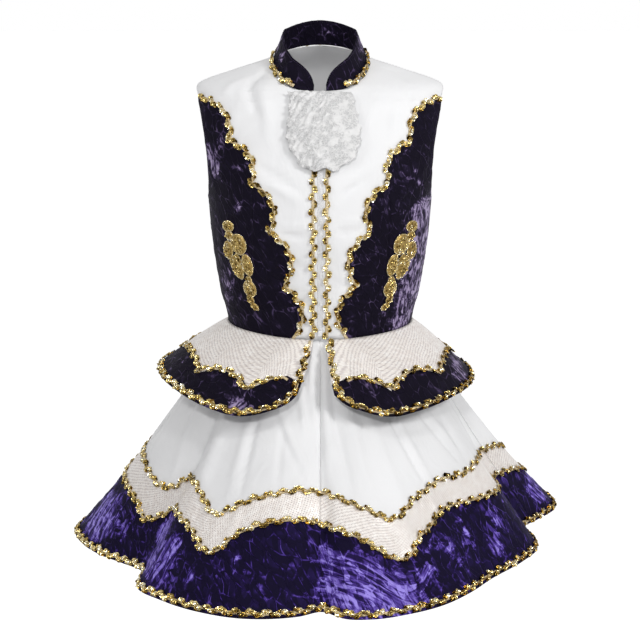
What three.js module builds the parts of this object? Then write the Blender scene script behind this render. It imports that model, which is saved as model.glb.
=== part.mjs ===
// Color guard dress: sleeveless velvet and satin bodice with a stand collar and a lace jabot,
// a split peplum and a full flared skirt in three bands, edged with sequin trim.
// Millimetres, +Z up. The front faces -Y. The origin lies midway between the shoulder tips, where
// the wearer's shoulders carry the dress. An azimuth is in degrees: 0 at the front, +90 at +X.

import * as THREE from 'three';

// ---- Driving sizes ----
const CLOTH = 1.5; // wall of every cloth piece
const SEAM = 0.15; // each piece stops this far short of a seam line
const TRIM_WIDTH = 9;
const TRIM_THICKNESS = 2;
const TRIM_LIFT = CLOTH + 0.9; // underside of a trim, measured from the inside of its panel
const SHOULDER_TIP = -20; // height of the shoulder seam's outer end
const UNDERARM = -187;
const WAIST_FRONT = -381;
const WAIST_DIP = 11; // the waist seam is this much lower at centre front
const WAIST_FADE = -320; // above this level the torso rings are flat
const ZIP_HALF = 4.2;
const COLLAR_HEIGHT = 36;
const COLLAR_LEAN = 15; // the collar's top edge stands this much nearer the neck
const COLLAR_WALL = 2;
const COLLAR_INSET = 2.5; // it stands this far inside the neckline
const COLLAR_GAP = 2; // and its lower edge this far above it
const COLLAR_TRIM_WIDTH = 8;
const COLLAR_TRIM_SHARE = 0.08; // share of the collar's height at the middle of its trim
const COLLAR_TRIM_STAND = 2; // the trim stands this far off the collar, over its seam
const COLLAR_TRIM_END = 12.5; // azimuth of the trim's front ends
const COLLAR_END = 2.7; // azimuth of its front ends
const COLLAR_ROUNDING = 13.3; // degrees over which the ends are rounded off
const SKIRT_MEAN_HEM = 350; // radius the folds of the skirt swing about
const SKIRT_TOP_DROP = 3; // the skirt hangs just below and inside the peplum's seam
const SKIRT_SLANT = 400; // about, from waist to hem
const SKIRT_SLANT_DEGREE = 3.5; // millimetres to a degree, half way down it
const HEM_TRIM_RISE = 6; // from a hem up to the middle of its trim
const PEPLUM_STAND = 1;
const PEPLUM_SLANT = 140;
const PEPLUM_OPENING = 5.5; // azimuth of its front edge at the waist
const PEPLUM_SPREAD = 3.5; // and how much further round the edge is at the hem
const PEPLUM_SWING = 6; // its hem hangs this much toward -X
const PEPLUM_TILT = 7; // and is this much higher at that side, lower at the other
const CENTRE_BACK = 179.95; // azimuth of the peplum's back edges

// ---- Tables ----
// One row per ring of the torso.
const TORSO = [
  // level, half width, front depth, back depth, centre y, squareness
  [-385, 135, 97, 92, 0, 2.15],
  [-370, 137, 98, 92, 0, 2.15],
  [-320, 147, 105, 94, 0, 2.15],
  [-270, 155, 116, 98, 0, 2.2],
  [-225, 160, 127, 103, 0, 2.2],
  [-187, 163, 131, 107, 0, 2.2],
  [-140, 172, 128, 110, 0, 2.15],
  [-100, 179, 118, 110, 0, 2.1],
  [-60, 183, 103, 106, 0, 2.0],
  [-35, 181, 88, 101, 1, 2.0],
  [-20, 176, 74, 97, 3, 1.95],
  [0, 121, 42, 84, 9, 1.9],
  [18, 67, 12, 58, 15, 1.9],
  [33, 50, 4, 40, 15, 2.0],
];
// Neckline, the same on both sides.
const NECK = [
  // azimuth, height
  [0, -27], [12, -24], [22, -12], [36, 1], [55, 11], [80, 17], [90, 18], [110, 21], [135, 26], [160, 29.5],
  [180, 30.5],
];
// Ends of the five scallops between satin and velvet, from the armhole to the waist.
const FRONT_NOTCHES = [
  // distance from centre, height
  [172, -38], [127, -95], [96, -152], [71, -220], [51, -300], [39, -381],
];
const BACK_NOTCHES = [
  [171, -40], [128, -95], [99, -152], [77, -220], [60, -300], [50, -381],
];
const PRINCESS_START = 2; // the princess seam leaves the scallops at this notch
const PRINCESS_TOP_GAP = 1.5; // where the front panel is this wide
const SIDE_SEAM = 0.05; // degrees short of the side seam
const ZIP_SEAM = 0.3; // the satin stops this far from the zip tape
const SCALLOP_BULGE = 0.25; // height of each arc over its chord
// The princess seam's distance from centre.
const PRINCESS = [
  // height, distance
  [-152, 96], [-190, 98], [-280, 95], [-381, 86],
];
// One row per fold or hollow of the skirt's hem.
const HEM = [
  // azimuth, radius, height
  [-178, 352, -704], [-160, 338, -706], [-146, 366, -704], [-131, 322, -710], [-116, 360, -706],
  [-104, 366, -707], [-91, 376, -708], [-82, 362, -708], [-73, 342, -708], [-65, 321, -708],
  [-55, 311, -708], [-46, 354, -708], [-38, 362, -708], [-27, 371, -708], [-16, 372, -708],
  [-5, 352, -708], [0.7, 333, -708], [5.5, 360, -708], [11, 367, -708], [19, 362, -708],
  [28, 356, -706], [37, 344, -703], [47, 331, -700], [60, 338, -694], [69, 341, -692],
  [76, 328, -692], [84, 303, -692], [92, 336, -690], [99, 372, -688], [107, 382, -687],
  [117, 362, -688], [130, 328, -694], [147, 362, -700], [164, 340, -704],
];
// Scalloped joins of the skirt's bands, as shares of the way from waist to hem.
const UPPER_JOIN = [
  // azimuth, share
  [-180, 0.575], [-165, 0.60], [-152, 0.675], [-140, 0.64], [-122, 0.60], [-108, 0.585], [-94, 0.59],
  [-84, 0.614], [-75, 0.646], [-66, 0.677], [-61, 0.668], [-57, 0.625], [-51, 0.598], [-44.5, 0.605],
  [-38, 0.648], [-32.5, 0.68], [-28.5, 0.655], [-22, 0.608], [-15, 0.582], [-8, 0.568], [0, 0.584],
  [6, 0.592], [11, 0.618], [16, 0.646], [21.5, 0.684], [25.5, 0.672], [29.5, 0.645], [37.5, 0.618],
  [46.5, 0.604], [52.5, 0.611], [60, 0.615], [68, 0.60], [78, 0.612], [88, 0.635], [96, 0.645],
  [103, 0.686], [108, 0.70], [116, 0.66], [126, 0.61], [140, 0.60], [152, 0.675], [166, 0.61],
];
const LOWER_JOIN = [
  // azimuth, share
  [-180, 0.69], [-165, 0.715], [-152, 0.80], [-140, 0.74], [-122, 0.70], [-108, 0.685], [-94, 0.692],
  [-87, 0.72], [-78, 0.742], [-70.5, 0.774], [-65.5, 0.817], [-59, 0.776], [-55, 0.734], [-49, 0.722],
  [-43, 0.728], [-35, 0.776], [-30.5, 0.808], [-27, 0.79], [-25, 0.752], [-20.5, 0.708], [-15, 0.682],
  [-7, 0.673], [0, 0.694], [5, 0.704], [10, 0.726], [14, 0.758], [20.5, 0.82], [24.8, 0.81],
  [28, 0.768], [33.5, 0.742], [40, 0.706], [47.5, 0.708], [58.5, 0.724], [66, 0.735], [76, 0.742],
  [87, 0.75], [93, 0.758], [101, 0.796], [106, 0.83], [112, 0.79], [124, 0.71], [140, 0.70], [152, 0.80],
  [166, 0.715],
];
// Hem of the peplum, the same on both sides.
const PEPLUM_HEM = [
  // azimuth, radius, height
  [6, 160, -438], [12, 179, -455], [20, 198, -466], [30, 211, -474], [43, 222, -468.5], [60, 229, -459],
  [75, 235, -453], [90, 236, -450], [110, 234, -451], [130, 226, -458], [155, 214, -464], [180, 210, -466],
];
const PEPLUM_NOTCHES = [9, 36.3, 63.2, 100, 127, 154, 180]; // azimuths where its scallops meet
const PEPLUM_LEFT_TURN = 3.2; // its left scallops sit up to this many degrees nearer the front
const PEPLUM_NOTCH_SHARE = 0.7; // share of the way from waist to hem
const PEPLUM_ARCH_RISE = 0.17;
// Outline of the jabot.
const JABOT = [
  // height, left edge x, right edge x
  [-31, -43, 45], [-46, -42, 48], [-71, -45, 54], [-97, -44, 54], [-110, -37, 49], [-121, -30, 42],
  [-130, -23, 24],
];
const JABOT_STAND = 6; // its middle stands this far off the satin
const JABOT_WALL = 1.2;
const JABOT_BOW = 3; // its middle stands this much further out than its sides
const JABOT_CRINKLE = 2.2;
const JABOT_CRINKLES_ACROSS = 5.4;
const JABOT_CRINKLES_DOWN = 2.2;
// The zip's mouldings: level of the middle, half width, height, thickness.
const ZIP_BOX = { name: 'zip_box', level: -372, half: 3.6, tall: 9, rise: 2.2 };
const ZIP_SLIDER = { name: 'zip_slider', level: -46, half: 3.4, tall: 12, rise: 2.4 };
const ZIP_LEVELS = [-378, -350, -320, -290, -255, -225, -195, -165, -135, -105, -75, -50, -30];
// Outline of the floral applique, from the bud at its top to the tip of its tail.
const APPLIQUE = [
  // share of length, how far its middle lies out of the spine, half width
  [0, 3.7, 4], [0.035, 3.8, 7], [0.07, 4, 8], [0.12, 5, 6.4], [0.16, 4.6, 8.5], [0.2, 3.4, 12.5],
  [0.25, 3.2, 16.5], [0.3, 3.5, 17.2], [0.35, 3.8, 15.6], [0.39, 4.2, 12.5], [0.44, 1.4, 14],
  [0.5, 1.1, 15.3], [0.56, 1, 13.4], [0.61, 0.2, 8.5], [0.655, -1.6, 5], [0.7, -0.3, 8], [0.75, 0, 8.8],
  [0.8, 0.5, 7.4], [0.85, 2.4, 4.6], [0.92, 2.4, 4.3], [0.97, 0.5, 3.8], [1, -1.5, 2.5],
];
const APPLIQUE_TOP = { distance: 128.5, height: -208 };
const APPLIQUE_TIP = { distance: 90.5, height: -341 };
const APPLIQUE_SLANT = 0.29; // its rows fall this much for each millimetre out
const APPLIQUE_FOOT = 0.5; // air under it
const APPLIQUE_EDGE = 1.4; // thickness at its edge
const APPLIQUE_RISE = 3.2; // half way in
const APPLIQUE_CROWN = 4; // and in the middle

// ---- Reading the tables ----
function column(table, index) {
  return table.map((row) => row[index]);
}

// A smooth curve through a table's points; its slope at each point comes from the neighbours.
function curve(xs, ys) {
  const last = xs.length - 1;
  const slope = xs.map((x, i) => {
    const before = Math.max(i - 1, 0);
    const after = Math.min(i + 1, last);
    if (before === i || after === i) return (ys[after] - ys[before]) / (xs[after] - xs[before]);
    const left = (ys[i] - ys[before]) / (x - xs[before]);
    const right = (ys[after] - ys[i]) / (xs[after] - x);
    return (left * (xs[after] - x) + right * (x - xs[before])) / (xs[after] - xs[before]);
  });
  return (x) => {
    let i = 0;
    while (i < last - 1 && x > xs[i + 1]) i += 1;
    const span = xs[i + 1] - xs[i];
    const t = Math.min(Math.max((x - xs[i]) / span, 0), 1);
    const rise = t * t * (3 - 2 * t);
    const early = t * (1 - t) * (1 - t) * span * slope[i];
    const late = t * t * (t - 1) * span * slope[i + 1];
    return ys[i] * (1 - rise) + ys[i + 1] * rise + early + late;
  };
}

// The same, for a table that closes on itself after 360 degrees.
function ringCurve(xs, ys) {
  const n = xs.length;
  const before = [n - 2, n - 1];
  const after = [0, 1];
  const allX = [...before.map((i) => xs[i] - 360), ...xs, ...after.map((i) => xs[i] + 360)];
  const allY = [...before.map((i) => ys[i]), ...ys, ...after.map((i) => ys[i])];
  const inner = curve(allX, allY);
  return (x) => inner(xs[0] + ((((x - xs[0]) % 360) + 360) % 360));
}

function straight(table, x) {
  let i = 0;
  while (i < table.length - 2 && x > table[i + 1][0]) i += 1;
  const t = (x - table[i][0]) / (table[i + 1][0] - table[i][0]);
  return table[i][1] + (table[i + 1][1] - table[i][1]) * Math.min(Math.max(t, 0), 1);
}

function radians(degrees) {
  return (degrees * Math.PI) / 180;
}

function lerp(a, b, t) {
  return a + (b - a) * t;
}

// How far round an azimuth is from the front, either way.
function fromFront(azimuth) {
  return Math.abs(((((azimuth + 180) % 360) + 360) % 360) - 180);
}

function power(value, exponent) {
  return Math.sign(value) * Math.abs(value) ** exponent;
}

// ---- Surfaces: the inside face of the cloth ----
const [halfWidth, frontDepth, backDepth, centreY, squareness] = [1, 2, 3, 4, 5].map((k) =>
  curve(column(TORSO, 0), column(TORSO, k)),
);

function waistLift(azimuth) {
  const front = Math.max(Math.cos(radians(azimuth)), 0);
  return WAIST_DIP * (1 - front ** 1.5);
}

function torso(azimuth, level) {
  const s = Math.sin(radians(azimuth));
  const c = Math.cos(radians(azimuth));
  const e = 2 / squareness(level);
  const depth = c > 0 ? frontDepth(level) : backDepth(level);
  const fade = Math.min(Math.max((WAIST_FADE - level) / (WAIST_FADE - WAIST_FRONT), 0), 1);
  const z = level + waistLift(azimuth) * fade * fade * (3 - 2 * fade);
  return new THREE.Vector3(halfWidth(level) * power(s, e), centreY(level) - depth * power(c, e), z);
}

function polarWaist(azimuth) {
  let low = azimuth - 25;
  let high = azimuth + 25;
  for (let step = 0; step < 30; step += 1) {
    const middle = (low + high) / 2;
    const p = torso(middle, WAIST_FRONT);
    const found = (Math.atan2(p.x, -p.y) * 180) / Math.PI;
    const miss = ((((found - azimuth + 180) % 360) + 360) % 360) - 180;
    if (miss < 0) low = middle;
    else high = middle;
  }
  const p = torso((low + high) / 2, WAIST_FRONT);
  return Math.hypot(p.x, p.y);
}

function onPolar(azimuth, radius, height) {
  return new THREE.Vector3(radius * Math.sin(radians(azimuth)), -radius * Math.cos(radians(azimuth)), height);
}

const hemRadius = ringCurve(column(HEM, 0), column(HEM, 1));
const hemHeight = ringCurve(column(HEM, 0), column(HEM, 2));
const SKIRT_FLARE = 1.16; // the skirt flares a little more toward its hem
const FOLD_GROWTH = 1.35; // and its folds deepen faster than it widens

function skirt(azimuth, share) {
  const waist = polarWaist(azimuth) - SKIRT_TOP_DROP + 1;
  const fold = (hemRadius(azimuth) - SKIRT_MEAN_HEM) * share ** FOLD_GROWTH;
  const radius = waist + (SKIRT_MEAN_HEM - waist) * share ** SKIRT_FLARE + fold;
  const top = WAIST_FRONT + waistLift(azimuth) - SKIRT_TOP_DROP;
  return onPolar(azimuth, radius, lerp(top, hemHeight(azimuth), share));
}

const peplumRadius = curve(column(PEPLUM_HEM, 0), column(PEPLUM_HEM, 1));
const peplumHeight = curve(column(PEPLUM_HEM, 0), column(PEPLUM_HEM, 2));
const PEPLUM_FLARE = 0.93;

function peplum(azimuth, share) {
  const side = fromFront(azimuth);
  const waist = polarWaist(azimuth) + PEPLUM_STAND;
  const radius = lerp(waist, peplumRadius(side), share ** PEPLUM_FLARE);
  const top = WAIST_FRONT + waistLift(azimuth) - PEPLUM_STAND;
  const p = onPolar(azimuth, radius, lerp(top, peplumHeight(side), share));
  p.x -= PEPLUM_SWING * share;
  p.z -= PEPLUM_TILT * share * power(Math.sin(radians(azimuth)), 5);
  return p;
}

const neckHeight = curve(column(NECK, 0), column(NECK, 1));

// The collar rises from the neckline and leans in; its front ends are rounded off.
function collar(azimuth, share) {
  const side = Math.min(Math.max((fromFront(azimuth) - COLLAR_END) / COLLAR_ROUNDING, 0), 1);
  const height = COLLAR_HEIGHT * share * Math.sqrt(1 - (1 - side) ** 2);
  const base = torso(azimuth, neckHeight(fromFront(azimuth)));
  const inward = new THREE.Vector3(0, -8, base.z).sub(base).normalize();
  base.addScaledVector(inward, COLLAR_INSET + (COLLAR_LEAN * height) / COLLAR_HEIGHT);
  base.z += height + COLLAR_GAP;
  return base;
}

// Outward unit normal, from two small steps on the surface.
function outward(surface, azimuth, along, alongStep) {
  const low = Math.max(along - alongStep, 0.0001);
  const start = surface === torso ? along - alongStep : low;
  const across = surface(azimuth + 0.4, along).sub(surface(azimuth - 0.4, along));
  const up = surface(azimuth, along + alongStep).sub(surface(azimuth, start));
  const normal = across.cross(up).normalize();
  const p = surface(azimuth, along);
  const away = new THREE.Vector3(p.x, p.y, 0);
  if (surface === torso) away.z = 60;
  return normal.dot(away) < 0 ? normal.negate() : normal;
}

const STEPS = new Map([[torso, 0.8], [skirt, 0.01], [peplum, 0.01], [collar, 0.02]]);

function raised(surface, azimuth, along, height) {
  const p = surface(azimuth, along);
  return p.addScaledVector(outward(surface, azimuth, along, STEPS.get(surface)), height);
}

// ---- Seam lines on the torso ----
// The azimuth at which the torso ring of a level is a given distance from the centre plane.
function azimuthAt(distance, level, back) {
  const s = Math.min(distance / halfWidth(level), 1) ** (squareness(level) / 2);
  const azimuth = (Math.asin(s) * 180) / Math.PI;
  return back ? 180 - azimuth : azimuth;
}

const ARMHOLE_MIDDLE = (SHOULDER_TIP + UNDERARM) / 2;
const ARMHOLE_HALF = (SHOULDER_TIP - UNDERARM) / 2;
const ARMHOLE_REACH = 24; // degrees to each side of the side seam

function armholeAzimuth(level, back) {
  const off = Math.min(Math.abs(level - ARMHOLE_MIDDLE) / ARMHOLE_HALF, 1);
  const reach = ARMHOLE_REACH * Math.sqrt(1 - off * off);
  return back ? 90 + reach : 90 - reach;
}

// Points down the scallops, with an even count to each scallop.
const SCALLOP_STEPS = 4;

function scallopLine(notches, from = 0) {
  const points = [];
  for (let i = from; i < notches.length - 1; i += 1) {
    const [x0, z0] = notches[i];
    const [x1, z1] = notches[i + 1];
    for (let k = 0; k < SCALLOP_STEPS; k += 1) {
      const t = k / SCALLOP_STEPS;
      const bulge = 4 * SCALLOP_BULGE * t * (1 - t);
      points.push([lerp(x0, x1, t) - (z0 - z1) * bulge, lerp(z0, z1, t) + (x0 - x1) * bulge]);
    }
  }
  points.push(notches[notches.length - 1]);
  return points;
}

// ---- Solids ----
// A wall on a grid of [inner, outer] point pairs; a ring joins its last column to its first.
function wall(grid, ring = false) {
  const columns = grid.length;
  const rows = grid[0].length;
  const position = [];
  grid.forEach((line) => {
    line.forEach(([inner, outer]) => position.push(...inner.toArray(), ...outer.toArray()));
  });
  const inner = (i, j) => 2 * ((i % columns) * rows + j);
  const outer = (i, j) => inner(i, j) + 1;
  const index = [];
  const quad = (a, b, c, d) => index.push(a, b, c, a, c, d);
  const spans = ring ? columns : columns - 1;
  for (let i = 0; i < spans; i += 1) {
    for (let j = 0; j < rows - 1; j += 1) {
      quad(outer(i, j), outer(i + 1, j), outer(i + 1, j + 1), outer(i, j + 1));
      quad(inner(i, j), inner(i, j + 1), inner(i + 1, j + 1), inner(i + 1, j));
    }
    quad(inner(i, 0), inner(i + 1, 0), outer(i + 1, 0), outer(i, 0));
    quad(outer(i, rows - 1), outer(i + 1, rows - 1), inner(i + 1, rows - 1), inner(i, rows - 1));
  }
  if (!ring) {
    for (let j = 0; j < rows - 1; j += 1) {
      quad(outer(0, j), outer(0, j + 1), inner(0, j + 1), inner(0, j));
      quad(inner(spans, j), inner(spans, j + 1), outer(spans, j + 1), outer(spans, j));
    }
  }
  if (volume(position, index) < 0) index.reverse();
  const geometry = new THREE.BufferGeometry();
  geometry.setAttribute('position', new THREE.Float32BufferAttribute(position, 3));
  geometry.setIndex(index);
  return geometry;
}

function volume(position, index) {
  const corner = (k) => new THREE.Vector3().fromArray(position, 3 * index[k]);
  let total = 0;
  for (let k = 0; k < index.length; k += 3) total += corner(k).dot(corner(k + 1).cross(corner(k + 2)));
  return total;
}

const dress = new THREE.Group();

function add(name, geometry, material) {
  const mesh = new THREE.Mesh(geometry, material.clone());
  mesh.name = name;
  dress.add(mesh);
}

function finish(color, roughness, metalness) {
  return new THREE.MeshStandardMaterial({ color, roughness, metalness, side: THREE.DoubleSide });
}

const PLUM_VELVET = finish(0x1c1030, 0.85, 0);
const VIOLET_VELVET = finish(0x37206f, 0.8, 0);
const WHITE_SATIN = finish(0xebebec, 0.35, 0);
const CREAM_MESH = finish(0xe1d7d4, 0.45, 0.15);
const WHITE_LACE = finish(0xefeff0, 0.7, 0);
const GOLD_SEQUINS = finish(0xbe9b46, 0.3, 0.8);
const WHITE_PLASTIC = finish(0xe4e4e6, 0.4, 0);

// A panel between two edges. Each row gives its level and the azimuths it runs between.
function panel(name, surface, rows, columns, material, lift = 0, thickness = CLOTH) {
  const grid = [];
  for (let i = 0; i <= columns; i += 1) {
    grid.push(rows.map((row) => {
      const azimuth = lerp(row.from, row.to, i / columns);
      const along = row.along(azimuth);
      return [raised(surface, azimuth, along, lift), raised(surface, azimuth, along, lift + thickness)];
    }));
  }
  add(name, wall(grid), material);
}

// Moves a distance from the centre plane by a seam's allowance, and turns it into a row's azimuth.
function edgeAt(distance, level, allowance, back) {
  return azimuthAt(distance + allowance, level, back);
}

function level(value) {
  return () => value;
}

// ---- Bodice ----
const FRONT_SCALLOPS = scallopLine(FRONT_NOTCHES);
const BACK_SCALLOPS = scallopLine(BACK_NOTCHES);
const SHOULDER_LEVELS = [-37.4, -32, -27.5, -23.5, -21.3, -20.2, -17, -10, -3, 4, 10, 15];
const UNDERARM_LEVELS = [-178, -183.5, -186.4]; // extra rows where the armhole turns quickly
const NAPE_LEVELS = [20.5, 24, 27.5];
const SHOULDER_SEAM = 0.35; // degrees short of the shoulder line, where the rings are flat and wide

function neckAzimuth(height) {
  return straight(NECK.map(([azimuth, z]) => [z, azimuth]), height);
}

function shoulderEdge(z, back) {
  if (z < SHOULDER_TIP) return armholeAzimuth(z, back);
  return back ? 90 + SHOULDER_SEAM : 90 - SHOULDER_SEAM;
}

function turned(rows, side) {
  return rows.map((row) => ({ from: side * row.from, to: side * row.to, along: row.along }));
}

function frontSatinRows() {
  const rows = [...FRONT_SCALLOPS].reverse().map(([x, z]) => ({
    from: edgeAt(ZIP_HALF, z, ZIP_SEAM, false),
    to: edgeAt(x, z, -SEAM, false),
    along: level(z),
  }));
  SHOULDER_LEVELS.forEach((z) => {
    const inner = z < NECK[0][1] ? edgeAt(ZIP_HALF, z, ZIP_SEAM, false) : neckAzimuth(z);
    rows.push({ from: inner, to: shoulderEdge(z, false), along: level(z) });
  });
  return rows;
}

function princessAt(z) {
  return straight([...PRINCESS].reverse(), z);
}

function frontVelvetRows() {
  return scallopLine(FRONT_NOTCHES, PRINCESS_START).map(([x, z], i) => ({
    from: edgeAt(x, z, SEAM, false),
    to: edgeAt(i === 0 ? x + PRINCESS_TOP_GAP : princessAt(z), z, -SEAM, false),
    along: level(z),
  }));
}

// The first point of a scallop line, lowered by a seam, is the velvet's top corner at the armhole.
// Points at the underarm's levels are set in between the others.
function velvetEdge(scallops) {
  const points = scallops.map(([x, z], i) => [x, i === 0 ? z - 3 * SEAM : z]);
  const distanceAt = (z) => straight(points.map(([x, height]) => [-height, x]), -z);
  UNDERARM_LEVELS.forEach((z) => points.push([distanceAt(z), z]));
  return points.sort((a, b) => b[1] - a[1]);
}

function sideVelvetRows() {
  const seam = (z) => (z < UNDERARM ? 90 : armholeAzimuth(z, false)) - SIDE_SEAM;
  const start = FRONT_NOTCHES[PRINCESS_START][1];
  return velvetEdge(FRONT_SCALLOPS).map(([x, z]) => {
    const inner = z > start ? x : princessAt(z) + (z === start ? PRINCESS_TOP_GAP : 0);
    return { from: edgeAt(inner, z, SEAM, false), to: seam(z), along: level(z) };
  });
}

function backSatinRows() {
  const rows = [...BACK_SCALLOPS].reverse().map(([x, z]) => {
    const edge = edgeAt(x, z, -SEAM, true);
    return { from: edge, to: 360 - edge, along: level(z) };
  });
  SHOULDER_LEVELS.forEach((z) => {
    const edge = shoulderEdge(z, true);
    rows.push({ from: edge, to: 360 - edge, along: level(z) });
  });
  NAPE_LEVELS.forEach((z) => rows.push({ from: neckAzimuth(z), to: 360 - neckAzimuth(z), along: level(z) }));
  return rows;
}

function backVelvetRows() {
  const seam = (z) => (z < UNDERARM ? 90 : armholeAzimuth(z, true)) + SIDE_SEAM;
  return velvetEdge(BACK_SCALLOPS).map(([x, z]) => ({
    from: seam(z),
    to: edgeAt(x, z, SEAM, true),
    along: level(z),
  }));
}

function makeBodice() {
  [['left', -1], ['right', 1]].forEach(([word, side]) => {
    panel(`front_satin_${word}`, torso, turned(frontSatinRows(), side), 4, WHITE_SATIN);
    panel(`front_velvet_${word}`, torso, turned(frontVelvetRows(), side), 2, PLUM_VELVET);
    panel(`side_velvet_${word}`, torso, turned(sideVelvetRows(), side), 4, PLUM_VELVET);
    panel(`back_velvet_${word}`, torso, turned(backVelvetRows(), side), 4, PLUM_VELVET);
  });
  panel('back_satin', torso, backSatinRows(), 8, WHITE_SATIN);
}

function makeCollar() {
  const shares = [0, 0.5, 1];
  const ends = [3.2, 4.5, 6.5, 8.5, 10.5, 13.5];
  const columns = 26;
  const middle = Array.from({ length: columns + 1 }, (_, i) => lerp(17, 343, i / columns));
  const azimuths = [...ends, ...middle, ...ends.map((azimuth) => 360 - azimuth).reverse()];
  const grid = azimuths.map((azimuth) => shares.map((share) => [
    raised(collar, azimuth, share, 0),
    raised(collar, azimuth, share, COLLAR_WALL),
  ]));
  add('collar', wall(grid), PLUM_VELVET);
  const round = [COLLAR_TRIM_END, ...middle, 360 - COLLAR_TRIM_END];
  const line = round.map((azimuth) => [azimuth, COLLAR_TRIM_SHARE]);
  strip('trim_collar', collar, line, false, COLLAR_WALL + COLLAR_TRIM_STAND, COLLAR_TRIM_WIDTH);
}

// ---- Trims ----
// A strip along a line of [azimuth, along] points, across which it reaches half its width each way.
function strip(name, surface, line, ring = false, lift = TRIM_LIFT, width = TRIM_WIDTH) {
  const points = line.map(([azimuth, along]) => surface(azimuth, along));
  const step = STEPS.get(surface);
  const count = line.length;
  const grid = line.map(([azimuth, along], i) => {
    const before = ring ? (i + count - 1) % count : Math.max(i - 1, 0);
    const after = ring ? (i + 1) % count : Math.min(i + 1, count - 1);
    const run = points[after].clone().sub(points[before]).normalize();
    const normal = outward(surface, azimuth, along, step);
    const across = run.cross(normal).normalize().multiplyScalar(width / 2);
    const base = points[i];
    return [-1, 1].map((side) => {
      const foot = base.clone().addScaledVector(across, side);
      const top = foot.clone().addScaledVector(normal, lift + TRIM_THICKNESS);
      return [foot.addScaledVector(normal, lift), top];
    });
  });
  add(name, wall(grid, ring), GOLD_SEQUINS);
}

// The skirt's columns, closer together on its fuller front.
const FRONT_COLUMNS = 23; // to each front quarter
const BACK_COLUMNS = 16;

function quarterAzimuths(quarter) {
  const [from, to] = [[-90, 0], [0, 90], [90, 180], [180, 270]][quarter];
  const columns = quarter < 2 ? FRONT_COLUMNS : BACK_COLUMNS;
  return Array.from({ length: columns + 1 }, (_, i) => lerp(from, to, i / columns));
}

const RING_AZIMUTHS = [0, 1, 2, 3].flatMap((quarter) => quarterAzimuths(quarter).slice(0, -1));
const upperJoin = ringCurve(column(UPPER_JOIN, 0), column(UPPER_JOIN, 1));
const lowerJoin = ringCurve(column(LOWER_JOIN, 0), column(LOWER_JOIN, 1));

// A trim on the skirt is made from its panels' columns, moved out, so it follows their folds.
function skirtTrim(name, joinAt) {
  const grid = RING_AZIMUTHS.map((azimuth, i) => {
    const next = RING_AZIMUTHS[(i + 1) % RING_AZIMUTHS.length];
    const past = RING_AZIMUTHS[(i + RING_AZIMUTHS.length - 1) % RING_AZIMUTHS.length];
    const share = joinAt(azimuth);
    const run = skirt(next, joinAt(next)).sub(skirt(past, joinAt(past)));
    const fall = skirt(azimuth, share + 0.01).sub(skirt(azimuth, share));
    const slant = fall.length() / 0.01;
    const sine = Math.sqrt(1 - (run.normalize().dot(fall.normalize())) ** 2);
    const reach = TRIM_WIDTH / 2 / slant / Math.max(sine, 0.75);
    return [share - reach, share + reach].map((edge) => [
      raised(skirt, azimuth, edge, TRIM_LIFT),
      raised(skirt, azimuth, edge, TRIM_LIFT + TRIM_THICKNESS),
    ]);
  });
  add(name, wall(grid, true), GOLD_SEQUINS);
}

// ---- Skirt ----
const GORES = ['front_left', 'front_right', 'back_right', 'back_left'];
const SEAM_SHARE = SEAM / SKIRT_SLANT;
const SEAM_DEGREES = SEAM / SKIRT_SLANT_DEGREE;

function skirtBand(name, quarter, from, to, steps, material) {
  const azimuths = quarterAzimuths(quarter);
  const last = azimuths.length - 1;
  const grid = azimuths.map((azimuth, i) => {
    const shifted = azimuth + (i === 0 ? SEAM_DEGREES : 0) - (i === last ? SEAM_DEGREES : 0);
    return Array.from({ length: steps + 1 }, (_, j) => {
      const share = lerp(from(azimuth) + SEAM_SHARE, to(azimuth) - SEAM_SHARE, j / steps);
      return [raised(skirt, shifted, share, 0), raised(skirt, shifted, share, CLOTH)];
    });
  });
  add(name, wall(grid), material);
}

function makeSkirt() {
  GORES.forEach((word, quarter) => {
    skirtBand(`skirt_satin_${word}`, quarter, level(0.002), upperJoin, 2, WHITE_SATIN);
    skirtBand(`skirt_mesh_${word}`, quarter, upperJoin, lowerJoin, 1, CREAM_MESH);
    skirtBand(`skirt_velvet_${word}`, quarter, lowerJoin, level(1), 2, VIOLET_VELVET);
  });
  skirtTrim('trim_skirt_upper', upperJoin);
  skirtTrim('trim_skirt_lower', lowerJoin);
  skirtTrim('trim_skirt_hem', level(1 - HEM_TRIM_RISE / SKIRT_SLANT));
}

// ---- Peplum ----
const PEPLUM_COLUMNS = 28; // to each half
const PEPLUM_TRIM_INSET = 2.6; // degrees from the front edge to its trim
const PEPLUM_HEM_TRIM = 1 - HEM_TRIM_RISE / PEPLUM_SLANT;
const PEPLUM_SEAM_SHARE = SEAM / PEPLUM_SLANT;
const PEPLUM_TOP_SHARE = 0.005; // it starts this far down, clear of the waist seam
const PEPLUM_FRONT_DROP = 0.16; // the first scallop meets the front edge this much lower
const PEPLUM_CORNER = [14.5, PEPLUM_HEM_TRIM - 0.01]; // where its edge trim turns from front to hem

function peplumFront(share) {
  return PEPLUM_OPENING + PEPLUM_SPREAD * share ** 2;
}

function peplumJoin(azimuth) {
  const side = fromFront(azimuth) + PEPLUM_LEFT_TURN * Math.max(-Math.sin(radians(azimuth)), 0);
  let i = 0;
  while (i < PEPLUM_NOTCHES.length - 2 && side > PEPLUM_NOTCHES[i + 1]) i += 1;
  const t = (side - PEPLUM_NOTCHES[i]) / (PEPLUM_NOTCHES[i + 1] - PEPLUM_NOTCHES[i]);
  const arch = Math.max(Math.sin(Math.PI * Math.min(Math.max(t, 0), 1)), 0) ** 0.6;
  const firstDrop = i === 0 ? PEPLUM_FRONT_DROP * Math.max(1 - t * 2.5, 0) : 0;
  return PEPLUM_NOTCH_SHARE - PEPLUM_ARCH_RISE * arch + firstDrop;
}

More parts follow.
